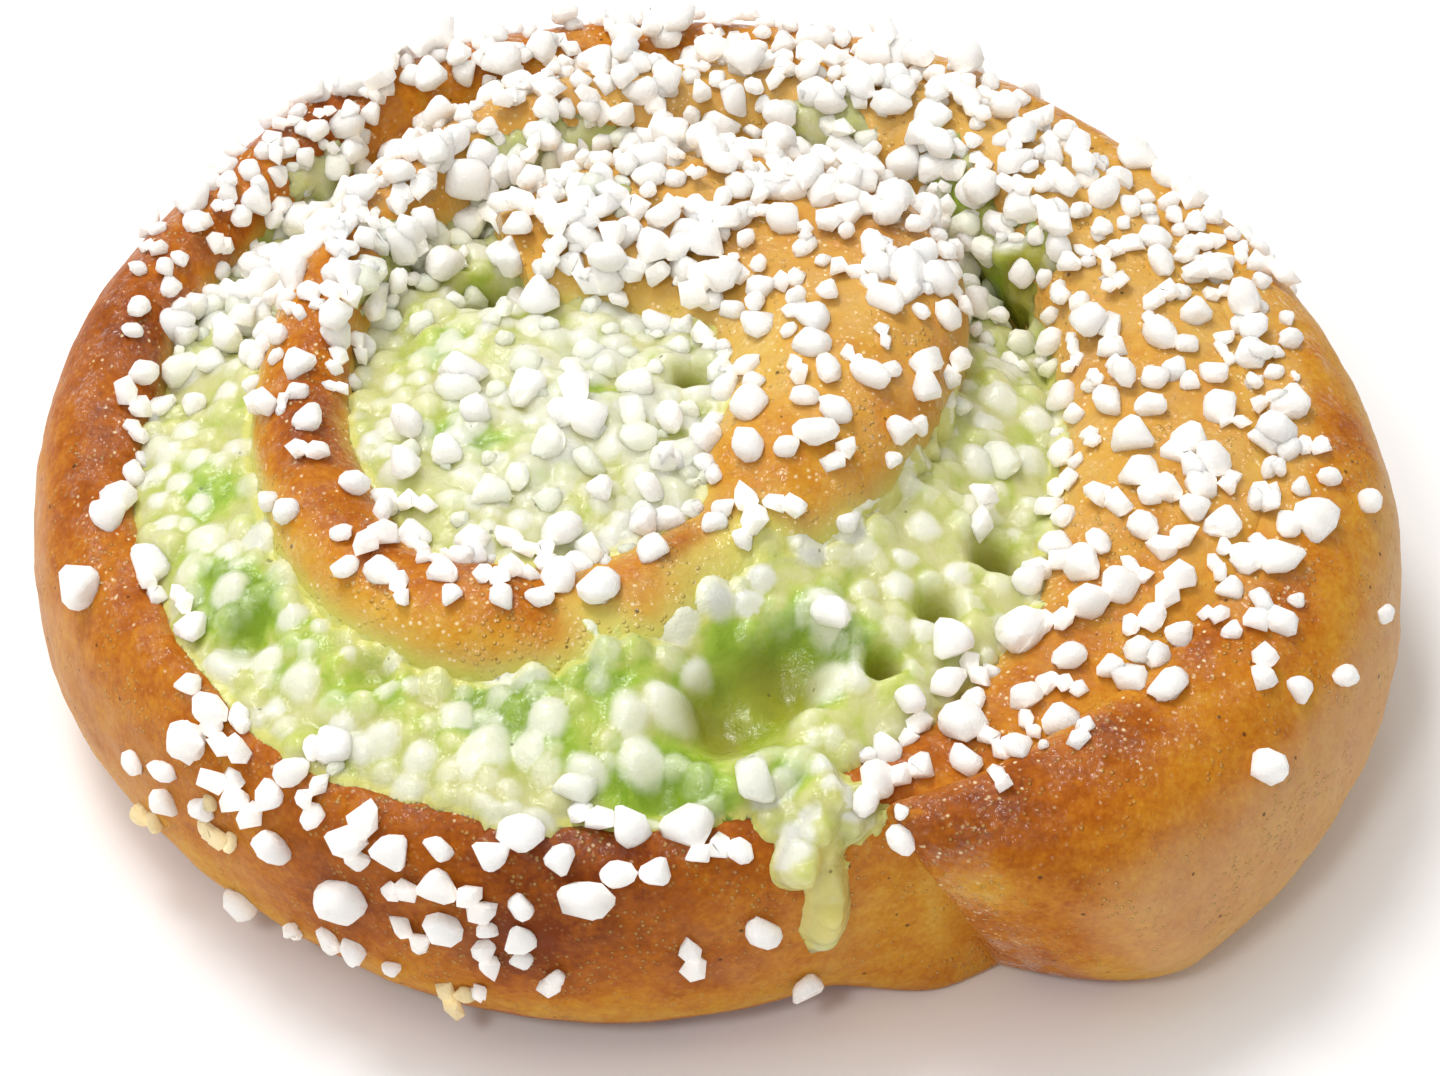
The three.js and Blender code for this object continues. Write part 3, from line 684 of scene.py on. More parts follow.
def lumps(points, size, shift=0.0, octaves=2):
    """Smooth random relief between about -1 and 1, with lumps of a size in mm."""
    out = np.empty(len(points))
    for k, p in enumerate(points / size + shift):
        out[k] = noise.fractal(p, NOISE_FALL, NOISE_PACE, octaves)
    return out


def relief(points, layers):
    """The sum of layers of lumps, each a height, a size, a shift and octaves."""
    return sum(height * lumps(points, size, shift, octaves) for height, size, shift, octaves in layers)


def clumped(points, share):
    """Turns a share of cover into patches: 1 inside a clump and 0 outside."""
    rank = 0.5 + CLUMP_SWING * lumps(points, CLUMP_SIZE, CLUMP_SHIFT, 1)
    return step(CLUMP_COVER * share - rank, 0.0, CLUMP_EDGE) * (share > 0.01)


def tree_of(piece):
    return BVHTree.FromObject(piece, bpy.context.evaluated_depsgraph_get())


def keep_large_parts(piece, least_points):
    """Drops loose scraps with fewer points than that."""
    with edited(piece) as bm:
        seen = set()
        scraps = []
        for start in bm.verts:
            if start in seen:
                continue
            part, queue = [], [start]
            seen.add(start)
            while queue:
                v = queue.pop()
                part.append(v)
                for edge in v.link_edges:
                    other = edge.other_vert(v)
                    if other not in seen:
                        seen.add(other)
                        queue.append(other)
            if len(part) < least_points:
                scraps.extend(part)
        bmesh.ops.delete(bm, geom=scraps, context="VERTS")


# Sight lines

def sight(across, down):
    """The line of sight through a pixel of the photograph: where it starts and where it runs."""
    tilt = math.radians(CAMERA_ELEVATION)
    back = Vector((0, -math.cos(tilt), math.sin(tilt)))
    up = Vector((0, math.sin(tilt), math.cos(tilt)))
    half_width = CAMERA_SENSOR / 2 / CAMERA_LENS
    half_height = half_width * IMAGE_SIZE[1] / IMAGE_SIZE[0]
    right_share = 2 * across / IMAGE_SIZE[0] - 1
    up_share = 1 - 2 * down / IMAGE_SIZE[1]
    way = Vector((1, 0, 0)) * (right_share * half_width) + up * (up_share * half_height) - back
    return CAMERA_TARGET + back * CAMERA_DISTANCE, way.normalized()


def seen_at(trees, across, down):
    """The point and normal that a pixel of the photograph shows, or nothing."""
    start, way = sight(across, down)
    hits = [tree.ray_cast(start, way) for tree in trees]
    hits = [hit for hit in hits if hit[0] is not None]
    if not hits:
        return None
    nearest = min(hits, key=lambda hit: hit[3])
    return nearest[0], nearest[1]


def spots_seen(trees, spots):
    """The spots of a list that land on something, as point in mm, normal and the spot's other values."""
    found = []
    for spot in spots:
        hit = seen_at(trees, spot[0], spot[1])
        if hit:
            found.append((np.array(hit[0]) / MM, np.array(hit[1]), spot[2:]))
    return found


def near_spots(points, found, height_share=1.0):
    """The sum of the spots' strengths at each point."""
    total = np.zeros(len(points))
    for centre, _, (radius, strength) in found:
        offset = points - centre
        offset[:, 2] *= height_share
        total += strength * np.exp(-((np.linalg.norm(offset, axis=1) / radius) ** 2))
    return total


# Dough

def strip(name, start, end, spacing):
    angles = np.linspace(start, end, int(round((end - start) / spacing)) + 1)[:, None]
    width = mix(TAIL_END, 1, np.sqrt(step(angles, TAIL_ANGLE, TAIL_ANGLE + TAIL_ROUND)))
    _, height = outline(angles, width)
    fade = np.maximum(0, 1 - (angles - TAIL_ANGLE) / TAIL_LENGTH)
    lag = TAIL_LAG * fade * np.maximum(0, 1 - height / through(CREST, angles))
    radius, _ = outline(angles + lag, width)
    return skin(name, place(angles + lag, radius, height))


def from_centre(points):
    """Each point's x and y from the coil's centre."""
    return points[:, 0] - COIL_CENTRE[0], points[:, 1] - COIL_CENTRE[1]


def polar(points):
    x, y = from_centre(points)
    return np.hypot(x, y), np.degrees(np.arctan2(y, x))


def coil_position(points):
    """How far along the strip each point lies, in degrees, and across it.

    Across is -1 at the inner face, 0 at the crest and 1 at the outer face.
    """
    radius, angle = polar(points)
    best = np.full(len(points), np.inf)
    along = np.zeros(len(points))
    for turn in range(-1, 4):
        a = angle + turn * TURN
        inside = (a > TAIL_ANGLE - END_SLACK) & (a < CORE_ANGLE + 2 * END_SLACK)
        miss = np.maximum(through(INNER_FACE, a) - radius, 0) + np.maximum(radius - outer_face(a), 0)
        miss = np.where(inside, miss, NOT_THERE)
        along = np.where(miss < best, a, along)
        best = np.minimum(best, miss)
    s = section(along)
    inner = (radius - s["top"]) / np.maximum(s["top"] - s["low"], NARROWEST)
    outer = (radius - s["top"]) / np.maximum(s["high"] - s["top"], NARROWEST)
    return along, np.clip(np.where(radius < s["top"], inner, outer), -ACROSS_LIMIT, ACROSS_LIMIT)


def dome_height(x, y):
    """The filling's level, x and y from the coil's centre."""
    radius = np.hypot(x, y)
    ripple = RIPPLE_LONG * np.sin(0.33 * x + 0.7) * np.cos(0.29 * y) + RIPPLE_SHORT * np.sin(0.61 * (x + y))
    return DOME_TOP - DOME_FALL * (radius / DOME_RADIUS) ** 2 + ripple


def over_filling(points):
    """How high each point stands over the filling's level."""
    return points[:, 2] - dome_height(*from_centre(points))


def by_slope(along, across, outer, inner):
    """A value from the list of the slope that each point lies on, with a smooth join at the crest."""
    return mix(through(inner, along), through(outer, along), step(across, -CREST_JOIN, CREST_JOIN))


def under_tail(along, across, least_across):
    """Whether the loose end covers the outer slope there."""
    middle = TAIL_ANGLE + TURN + TAIL_LENGTH / 2
    return (np.abs(along - middle) < TAIL_LENGTH / 2 + TAIL_MARGIN) & (across > least_across)


def make_dough():
    dough = strip("coil_dough", TAIL_ANGLE, STEP_CHANGE, ALONG_OUTER)
    inner = strip("inner_turns", STEP_CHANGE, CORE_ANGLE, ALONG_INNER)
    combine(dough, inner, "UNION")
    discard(inner)
    points, normals = mesh_vectors(dough, "points"), mesh_vectors(dough, "normals")
    raise_by = relief(points, DOUGH_RELIEF) * step(points[:, 2], *RELIEF_SPAN)
    move_points(dough, points + normals * raise_by[:, None])
    folds = near_spots(points, spots_seen([tree_of(dough)], TAIL_TIP))
    soften(dough, folds > FOLDED, FOLD_ROUNDS)
    return dough


def describe_dough(dough, grain_spots):
    """Gives every point of the dough how it baked, how green it is and how much sugar it holds."""
    points, normals = mesh_vectors(dough, "points"), mesh_vectors(dough, "normals")
    along, across = coil_position(points)
    # Dough that shows beside the loose end and faces outwards belongs to the turn under it
    outwards = place(polar(points)[1], 1, 0) - place(0, 0, 0)
    facing_out = (normals * outwards).sum(axis=1) > TUCKED_FACING
    tucked = (along < TAIL_ANGLE + TAIL_LENGTH) & (across < 0) & facing_out
    along, across = along + TURN * tucked, np.where(tucked, 1, across)
    free = free_side(along)
    free_along = np.minimum(along, LAST_FREE)

    crest = through(BAKE_CREST, along)
    outer = mix(crest, through(BAKE_OUTER, along), step(across, *OUTER_BAKES))
    inner = mix(crest, through(BAKE_INNER, along), step(-across, *INNER_BAKES))
    low_side = free * step(points[:, 2], *LOW_SIDE) * step(across, *LOW_SIDE_ACROSS)
    bake = mix(np.where(across > 0, outer, inner), LOW_SIDE_BAKE, low_side)
    set_attribute(dough, "bake", bake + near_spots(points, spots_seen([tree_of(dough)], BAKE_SPOTS)))

    film = by_slope(along, across, FILM_OUTER, FILM_INNER)
    soaked = 1 - step(over_filling(points) - film, -0.5, SOAK_REACH)
    soaked = soaked * by_slope(along, across, SOAK_OUTER, SOAK_INNER) * np.where(across > 0, 1 - free, 1)
    set_attribute(dough, "soak", soaked * (1 - under_tail(along, across, SIDE_FROM)))
    set_attribute(dough, "syrup", through(SYRUP, along) * (1 - free * step(across, *SYRUP_ENDS)))
    bare_side = step(across, *GLAZE_ENDS) * (along < TAIL_ANGLE + TURN + TAIL_LENGTH)
    set_attribute(dough, "glaze", mix(1, SIDE_GLAZE, bare_side))
    # The free side's pale tone: partly a paler bake, partly painted sheen
    set_attribute(dough, "floury", free * step(across, *PALE_SHEEN_SPAN) * through(PALE_AND_SHEEN, free_along))

    sugar = by_slope(along, across, SUGAR_OUTER, SUGAR_INNER)
    sugar = np.where((free > 0.5) & (across > SIDE_FROM), through(SIDE_SUGAR, free_along), sugar)
    sugar = np.where((points[:, 2] < SUGAR_LEVEL) | (np.abs(across) > SUGAR_EDGE), 0, sugar)
    set_attribute(dough, "heap", step(sugar, *HEAPED) * step(normals[:, 2], *LEVEL_ENOUGH))
    sugar = clumped(points, sugar)
    for centre, _, (length,) in grain_spots:
        sugar[np.linalg.norm(points - centre, axis=1) < GRAIN_ROOM * length / PIXELS_PER_MM] = 0
    set_attribute(dough, "sugar", np.clip(sugar, 0, 1))


# Filling

class Pebbles:
    """Grains soaked in the filling: rough lumps that only raise and whiten its skin."""

    def __init__(self, seed):
        self.draw = np.random.default_rng(seed)
        self.centres, self.halves, self.facets, self.tones = [], [], [], []

    def add(self, centre, half, tone):
        turned, _ = np.linalg.qr(self.draw.normal(size=(3, 3)))
        ways = np.concatenate([SIX_WAYS, -SIX_WAYS]) @ turned
        reach = self.draw.uniform(*FACET_DRAW, len(ways)) * half
        self.centres.append(np.asarray(centre, float))
        self.halves.append(half)
        self.facets.append(ways / reach[:, None])
        self.tones.append(tone)

    def clear_of(self, centre, half, share):
        if not self.centres:
            return True
        apart = np.linalg.norm(np.array(self.centres) - centre, axis=1)
        return bool(np.all(apart > share * (np.array(self.halves) + half)))

    def depth(self, points, flat=1.0):
        """How deep each point lies in a grain, 1 at its middle and 0 at its skin, its size and its tone."""
        deepest, size, tone = np.full(len(points), -9.0), np.zeros(len(points)), np.zeros(len(points))
        for centre, half, facets, shade in zip(self.centres, self.halves, self.facets, self.tones):
            near = np.flatnonzero(np.abs(points[:, :2] - centre[:2]).max(axis=1) < FACET_REACH * half)
            offset = points[near] - centre
            offset[:, 2] *= flat
            sides = np.maximum(offset @ facets.T, 0)
            depth = 1 - (sides**ROUNDNESS).sum(axis=1) ** (1 / ROUNDNESS)
            better = depth > deepest[near]
            deepest[near[better]] = depth[better]
            size[near[better]] = half
            tone[near[better]] = shade
        return deepest, size, tone


def soak_grains(base_trees, dough_tree, holes):
    """Places the grains that the filling has swallowed: those noted, then others strewn between them."""
    pebbles = Pebbles(PEBBLE_SEED)
    for centre, _, (length,) in spots_seen(base_trees, WET_GRAINS):
        pebbles.add(centre, 0.5 * length / PIXELS_PER_MM, NOTED_TONE)
    draw = np.random.default_rng(STREWN_SEED)
    for _ in range(PEBBLE_TRIES):
        angle, radius = draw.uniform(0, math.tau), FILLING_REACH * math.sqrt(draw.uniform())
        x, y = radius * math.cos(angle), radius * math.sin(angle)
        half = PEBBLE_LEAST + PEBBLE_SPREAD * draw.uniform() ** PEBBLE_FEW_LARGE
        above = Vector((x + COIL_CENTRE[0], y + COIL_CENTRE[1], WELL_ABOVE)) * MM
        hit = dough_tree.ray_cast(above, Vector((0, 0, -1)))
        level = float(dome_height(x, y))
        top = hit[0].z / MM if hit[0] else 0.0
        point = np.array([x + COIL_CENTRE[0], y + COIL_CENTRE[1], max(level, top)])
        along, across = coil_position(point[None])
        climb = float(by_slope(along, across, FILM_OUTER, FILM_INNER)[0])
        outside = free_side(along)[0] > 0.5 and across[0] > 0
        bare = relief(point[None], BARE_PATCHES)[0] < BARE_UNDER
        bare = bare or any(np.linalg.norm((point - hole)[:2]) < size for hole, _, (size, _) in holes)
        if bare or outside or top - level > max(climb, -0.1) - 0.3:
            continue
        if pebbles.clear_of(point, half, PEBBLE_SPACING):
            whiter = MIDDLE_TONE if radius < MIDDLE_RADIUS else 0
            pebbles.add(point, half, draw.uniform(*STREWN_TONE) + whiter)
    return pebbles


def raised(pebbles, points):
    """How much the soaked grains lift the filling's skin."""
    depth, size, _ = pebbles.depth(points)
    inside = np.clip(depth, 0, 1)
    return (inside * (2 - inside)) ** PEBBLE_BLUNT * size * PEBBLE_RAISED


def in_hole(points, centre, radius):
    """1 at a hole's middle and 0 well outside it."""
    away = np.hypot(points[:, 0] - centre[0], points[:, 1] - centre[1]) / radius
    return np.exp(-away**3)


def closed_dome(name, holes, pebbles):
    """The domed filling as a closed block whose top is finely divided."""
    axis = np.arange(-FILLING_REACH, FILLING_REACH + FILLING_GRID, FILLING_GRID)
    x, y = np.meshgrid(axis, axis, indexing="ij")
    edge = through(INNER_FACE, np.degrees(np.arctan2(y, x)) % TURN) + DOME_TUCK
    inside = np.hypot(x, y) < edge
    flat = np.stack([x.ravel() + COIL_CENTRE[0], y.ravel() + COIL_CENTRE[1], dome_height(x, y).ravel()], 1)
    wanted = np.flatnonzero(inside.ravel())
    height = flat[:, 2].copy()
    height[wanted] += relief(flat[wanted], FILLING_RELIEF)
    if pebbles:
        height[wanted] += raised(pebbles, flat[wanted])
    for centre, _, (radius, depth) in holes:
        height -= depth * in_hole(flat, centre, radius)
    z = height.reshape(x.shape) - RIM_DROP * step(np.hypot(x, y), edge - RIM_WIDTH, edge) ** 2
    count = len(axis) - 1
    cell = inside[:-1, :-1] & inside[1:, :-1] & inside[:-1, 1:] & inside[1:, 1:]
    around = np.zeros(inside.shape, int)
    for dx, dy in ((0, 0), (0, 1), (1, 0), (1, 1)):
        around[dx:count + dx, dy:count + dy] += cell
    used = around > 0
    number = np.full(inside.shape, -1)
    number[used] = np.arange(used.sum())
    outwards = np.where(used & (around < 4), edge / np.maximum(np.hypot(x, y), 1), 1)
    x, y = x * outwards, y * outwards
    top = np.stack([x[used] + COIL_CENTRE[0], y[used] + COIL_CENTRE[1], z[used]], 1)
    i, j = np.nonzero(cell)
    quads = np.stack([number[i, j], number[i + 1, j], number[i + 1, j + 1], number[i, j + 1]], 1)
    filling = new_object(name, top * MM, quads.tolist())
    with edited(filling) as bm:
        walls = bmesh.ops.extrude_edge_only(bm, edges=[e for e in bm.edges if e.is_boundary])
        foot = [v for v in walls["geom"] if isinstance(v, bmesh.types.BMVert)]
        radius, angle = polar(np.array([tuple(v.co) for v in foot]) / MM)
        under = section(angle % TURN)
        under_high = under["high"] - under["outer_curl"]
        under_low = np.minimum(under["low"] + WALL_CURL, under_high - FOOT_WIDTH)
        radius = np.minimum(radius, (under_low + under_high) / 2)
        for v, point in zip(foot, place(angle % TURN, radius, 0.0) * MM):
            v.co = point
        bmesh.ops.holes_fill(bm, edges=[e for e in bm.edges if e.is_boundary])
        bmesh.ops.recalc_face_normals(bm, faces=bm.faces)
    return filling


def drip_thickness(points, path):
    """How thickly a drip along those spots covers each point, in mm and below zero beside it."""
    thick = np.full(len(points), -9.0)
    for (start, _, (half_start,)), (end, _, (half_end,)) in zip(path, path[1:]):
        way = end - start
        share = np.clip((points - start) @ way / (way @ way), 0, 1)
        half = mix(half_start, half_end, share)
        away = np.linalg.norm(points - start - share[:, None] * way, axis=1)
        thick = np.maximum(thick, DRIP_HEIGHT * half * (1 - (away / half) ** 2))
    return thick


def refine(piece, chosen):
    """Divides the faces between the chosen points into four."""
    with edited(piece) as bm:
        edges = [e for e in bm.edges if chosen[e.verts[0].index] and chosen[e.verts[1].index]]
        bmesh.ops.subdivide_edges(bm, edges=edges, cuts=1, use_grid_fill=True)


def soften(piece, chosen, rounds):
    """Evens out the chosen points against their neighbours."""
    axes = {"use_axis_x": True, "use_axis_y": True, "use_axis_z": True}
    with edited(piece) as bm:
        picked = [v for v in bm.verts if chosen[v.index]]
        for _ in range(rounds):
            bmesh.ops.smooth_vert(bm, verts=picked, factor=0.5, **axes)


def rounded_most(a, b, over):
    """The larger of two values, with a rounded join where they are about the same."""
    join = np.clip(0.5 + 0.5 * (b - a) / over, 0, 1)
    return mix(a, b, join) + over / 2 * join * (1 - join)


def film_thickness(points, paths, creep_spots):
    """How far wet filling covers the dough at each point, in mm, and how far the point is inside a drip."""
    along, across = coil_position(points)
    climb = by_slope(along, across, FILM_OUTER, FILM_INNER)
    over = over_filling(points)
    thick = FILM_FULL * np.clip((climb - over) / FILM_EDGE, *FILM_SHARES) + relief(points, FILM_RELIEF)
    outside = (free_side(along) > 0.3) & (across > 0)
    tail_tip = along < TAIL_ANGLE + TAIL_ROUND + 6
    bare = outside | under_tail(along, across, 0) | tail_tip | (over < -FILM_DEEPEST)
    thick = np.where(bare, FILM_UNDER, thick)
    crept = near_spots(points, creep_spots)
    ragged = np.minimum(CREPT_RISE * crept - CREPT_FROM + relief(points, CREPT_RELIEF), CREPT_MOST)
    drips = np.max([drip_thickness(points, path) for path in paths], axis=0)
    uneven = drips + relief(points, DRIP_RELIEF) * step(drips, -1, 0.5)
    hanging = np.maximum(thick, rounded_most(ragged, uneven, DRIP_HEIGHT))
    return np.where((crept > CREPT_LEAST) | (drips > FILM_UNDER), hanging, thick), drips


def film_over(dough, pebbles):
    """The dough's skin moved out where wet filling has crept over it and in elsewhere."""
    film = copy_of(dough, "film")
    dough_trees = [tree_of(dough)]
    paths = [spots_seen(dough_trees, spots) for spots in DRIPS]
    creep_spots = spots_seen(dough_trees, CREEPS)
    thick, _ = film_thickness(mesh_vectors(film, "points"), paths, creep_spots)
    refine(film, thick > -FILM_REACH)
    _, drips = film_thickness(mesh_vectors(film, "points"), paths, creep_spots)
    refine(film, drips > -FINE_REACH)
    points, normals = mesh_vectors(film, "points"), mesh_vectors(film, "normals")
    thick, _ = film_thickness(points, paths, creep_spots)
    lift = raised(pebbles, points) * step(thick, 0.0, FILM_FULL)
    thick = np.clip(thick, FILM_UNDER, FILM_MOST) + lift
    move_points(film, points + normals * thick[:, None])
    return film


def make_filling(dough, holes, pebbles):
    """The dome joined with the film that has crept over the dough, and cut to fit round the dough."""
    filling = closed_dome("pistachio_filling", holes, pebbles)
    film = film_over(dough, pebbles)
    combine(filling, film, "UNION")
    discard(film)
    cutter = copy_of(dough, "cutter")
    points = mesh_vectors(cutter, "points")
    points[:, 2] -= CUT_BELOW * (points[:, 2] < BASE_LEVEL)
    move_points(cutter, points)
    combine(filling, cutter, "DIFFERENCE")
    discard(cutter)
    keep_large_parts(filling, LEAST_POINTS)
    dough_tree = tree_of(dough)
    clear = [v.co.z > KEPT_FOOT and dough_tree.find_nearest(v.co)[3] > CLEAR_OF_DOUGH
             for v in filling.data.vertices]
    soften(filling, clear, CLEAR_ROUNDS)
    return filling


def describe_filling(filling, holes, pebbles, dough_tree):
    """Gives every point of the filling how white, green, thin and deep it is, the depth also painting shade
    into its holes.
    """
    points = mesh_vectors(filling, "points")
    tree = tree_of(filling)
    from_middle, _ = polar(points)
    back = step(from_centre(points)[1], *BACK_SPAN)

    green = np.clip(near_spots(points, spots_seen([tree], GREEN_SPOTS), GREEN_TALL), 0, GREEN_MOST)
    set_attribute(filling, "green", green)
    set_attribute(filling, "dripped", near_spots(points, spots_seen([tree], DRIP_TINT)))
    depth, _, tone = pebbles.depth(points - PEBBLE_SUNK, PEBBLE_FLAT)
    patches = step(relief(points, MILKY_PATCHES), *MILKY_EDGE)
    milky = MILKY_SHARE * step(from_middle, *MILKY_SPAN) * patches * (GREEN_MOST - green)
    facing = step(mesh_vectors(filling, "normals")[:, 2], *FACING_UP)
    set_attribute(filling, "white", np.maximum(step(depth, *WHITE_SPAN) * tone, milky) * facing)
    thickness = np.array([(dough_tree.find_nearest(Vector(p) * MM)[3] or 1) / MM for p in points])
    set_attribute(filling, "thin", (1 - step(thickness, *THIN_SPAN)) * (1 - THIN_BACK * back))

    # Each hole's depth share: it paints shade into the hole and keeps sugar out of it
    deep = np.zeros(len(points))
    for centre, _, (radius, hole_depth) in holes:
        deep += min(hole_depth / DEEP_HOLE, 1) * in_hole(points, centre, radius)
    set_attribute(filling, "deep", np.clip(deep, 0, 1))
    open_sky = 1 - np.clip(HOLE_BARE * deep, 0, 1)
    sugar = np.clip(MIDDLE_SUGAR * step(from_middle, *MIDDLE_SPAN) + back, LEAST_SUGAR, 1)
    set_attribute(filling, "sugar", clumped(points, sugar * step(points[:, 2], *GOO_LEVELS)) * open_sky)
    set_attribute(filling, "heap", step(back, 0.5, 1) * open_sky)


# Sugar

def hull(name, draw, middle, shape):
    """The hull of points scattered about a stretched ball."""
    piece = new_object(name, [], [])
    with edited(piece) as bm:
        corners = int(draw.integers(*HULL_CORNERS))
        for k in range(corners):
            lift = 1 - 2 * (k + 0.5) / corners
            turn = k * GOLDEN_TURN + draw.uniform(-0.5, 0.5)
            wide = math.sqrt(1 - lift**2)
            way = np.array([wide * math.cos(turn), wide * math.sin(turn), lift])
            bm.verts.new(middle + way * shape * draw.uniform(*HULL_DRAW))
        made = bmesh.ops.convex_hull(bm, input=bm.verts)
        unused = [v for v in made["geom_interior"] if isinstance(v, bmesh.types.BMVert)]
        bmesh.ops.delete(bm, geom=unused, context="VERTS")
        bmesh.ops.recalc_face_normals(bm, faces=bm.faces)
    return piece


def crystal(name, seed):
    """A sugar crystal about 1 in half length, or two grown together, with blunted edges."""
    draw = np.random.default_rng(seed)
    shape = np.array([1.0, draw.uniform(0.7, 0.95), draw.uniform(0.6, 0.85)])
    if seed % 3:
        piece = hull(name, draw, np.zeros(3), shape)
    else:
        apart = np.array([0.42, 0.12, 0.0]) * draw.uniform(0.9, 1.15)
        piece = hull(name, draw, apart, shape * draw.uniform(0.62, 0.75))
        other = hull(name + "_b", draw, -apart, shape * draw.uniform(0.62, 0.8))
        combine(piece, other, "UNION")
        discard(other)
    crisp = seed % 5 == 0
    with edited(piece) as bm:
        bmesh.ops.dissolve_limit(bm, angle_limit=FLAT_ANGLE, verts=bm.verts, edges=bm.edges)
        bmesh.ops.bevel(bm, geom=bm.edges, offset=draw.uniform(*BLUNTED), segments=1, affect="EDGES",
                        clamp_overlap=True)
        bmesh.ops.recalc_face_normals(bm, faces=bm.faces)
        for face in bm.faces:
            face.smooth = not crisp or face.calc_area() < FACET_AREA
    bpy.context.scene.collection.objects.unlink(piece)
    return piece


def crystal_kinds(name, count, seed):
    kinds = bpy.data.collections.new(name)
    for k in range(count):
        kinds.objects.link(crystal(f"{name}_{k:02d}", seed + k))
    return kinds


class Tree:
    """A Geometry Nodes tree with named inputs."""

    def __init__(self, name):
        self.group = bpy.data.node_groups.new(name, "GeometryNodeTree")
        self.group.interface.new_socket("Geometry", in_out="INPUT", socket_type="NodeSocketGeometry")
        self.group.interface.new_socket("Geometry", in_out="OUTPUT", socket_type="NodeSocketGeometry")
        self.start = self.group.nodes.new("NodeGroupInput")
        self.end = self.group.nodes.new("NodeGroupOutput")

    def size(self, name, value, kind="NodeSocketFloat"):
        socket = self.group.interface.new_socket(name, in_out="INPUT", socket_type=kind)
        if value is not None:
            socket.default_value = value
        return self.start.outputs[name]

    def node(self, kind, settings=None, **links):
        made = self.group.nodes.new(kind)
        for key, value in (settings or {}).items():
            setattr(made, key, value)
        for key, value in links.items():
            self.feed(made, key.replace("_", " "), value)
        return made

    def feed(self, node, socket, value):
        if isinstance(socket, str):
            target = next(s for s in node.inputs if s.name == socket and s.enabled)
        else:
            target = node.inputs[socket]
        if isinstance(value, bpy.types.NodeSocket):
            self.group.links.new(value, target)
        else:
            target.default_value = value

    def math(self, operation, a, b):
        made = self.group.nodes.new("ShaderNodeMath")
        made.operation = operation
        self.feed(made, 0, a)
        self.feed(made, 1, b)
        return made.outputs[0]

    def value_of(self, name, kind="FLOAT"):
        made = self.node("GeometryNodeInputNamedAttribute", {"data_type": kind}, Name=name)
        return made.outputs[0]

    def finish(self, geometry):
        self.group.links.new(geometry, self.end.inputs["Geometry"])
        return self.group


def set_input(modifier, name, value):
    for item in modifier.node_group.interface.items_tree:
        if item.item_type == "SOCKET" and item.in_out == "INPUT" and item.name == name:
            modifier[item.identifier] = value
            return
    raise ValueError(name)


def crystals_on(tree, points, normal, size):
    """The nodes that put a crystal on each point, turned its own way and half sunk."""
    raised_share = tree.size("Raised", 0.3)
    tilt = tree.size("Tilt", 0.5)
    seed = tree.size("Seed", 1, "NodeSocketInt")
    kinds = tree.size("Crystals", None, "NodeSocketCollection")
    material = tree.size("Material", None, "NodeSocketMaterial")
    lift = tree.node("ShaderNodeVectorMath", {"operation": "SCALE"})
    tree.feed(lift, 0, normal)
    tree.feed(lift, "Scale", tree.math("MULTIPLY", size, raised_share))
    moved = tree.node("GeometryNodeSetPosition", Geometry=points, Offset=lift.outputs[0])
    upright = tree.node("FunctionNodeAlignRotationToVector", {"axis": "Z"}, Vector=normal)
    back = tree.math("MULTIPLY", tilt, -1.0)
    low = tree.node("ShaderNodeCombineXYZ", X=back, Y=back, Z=-math.pi)
    high = tree.node("ShaderNodeCombineXYZ", X=tilt, Y=tilt, Z=math.pi)
    wobble = tree.node("FunctionNodeRandomValue", {"data_type": "FLOAT_VECTOR"}, Min=low.outputs[0],
                       Max=high.outputs[0], Seed=tree.math("ADD", seed, TURN_SEED))
    turned = tree.node("FunctionNodeRotateRotation", {"rotation_space": "LOCAL"},
                       Rotation=upright.outputs[0], Rotate_By=wobble.outputs[0])
    info = tree.node("GeometryNodeCollectionInfo", {"transform_space": "ORIGINAL"}, Collection=kinds,
                     Separate_Children=True, Reset_Children=True)
    placed = tree.node("GeometryNodeInstanceOnPoints", Points=moved.outputs[0], Instance=info.outputs[0],
                       Pick_Instance=True, Rotation=turned.outputs[0], Scale=size)
    tone = tree.node("FunctionNodeRandomValue", {"data_type": "FLOAT"},
                     Seed=tree.math("ADD", seed, TONE_SEED))
    toned = tree.node("GeometryNodeStoreNamedAttribute", {"data_type": "FLOAT", "domain": "INSTANCE"},
                      Geometry=placed.outputs[0], Name="tone", Value=tone.outputs[1])
    index = tree.node("GeometryNodeInputIndex")
    counted = tree.node("GeometryNodeStoreNamedAttribute", {"data_type": "INT", "domain": "INSTANCE"},
                        Geometry=toned.outputs[0], Name="grain", Value=index.outputs[0])
    whole = tree.node("GeometryNodeRealizeInstances", Geometry=counted.outputs[0])
    finished = tree.node("GeometryNodeSetMaterial", Geometry=whole.outputs[0], Material=material)
    return tree.finish(finished.outputs[0])


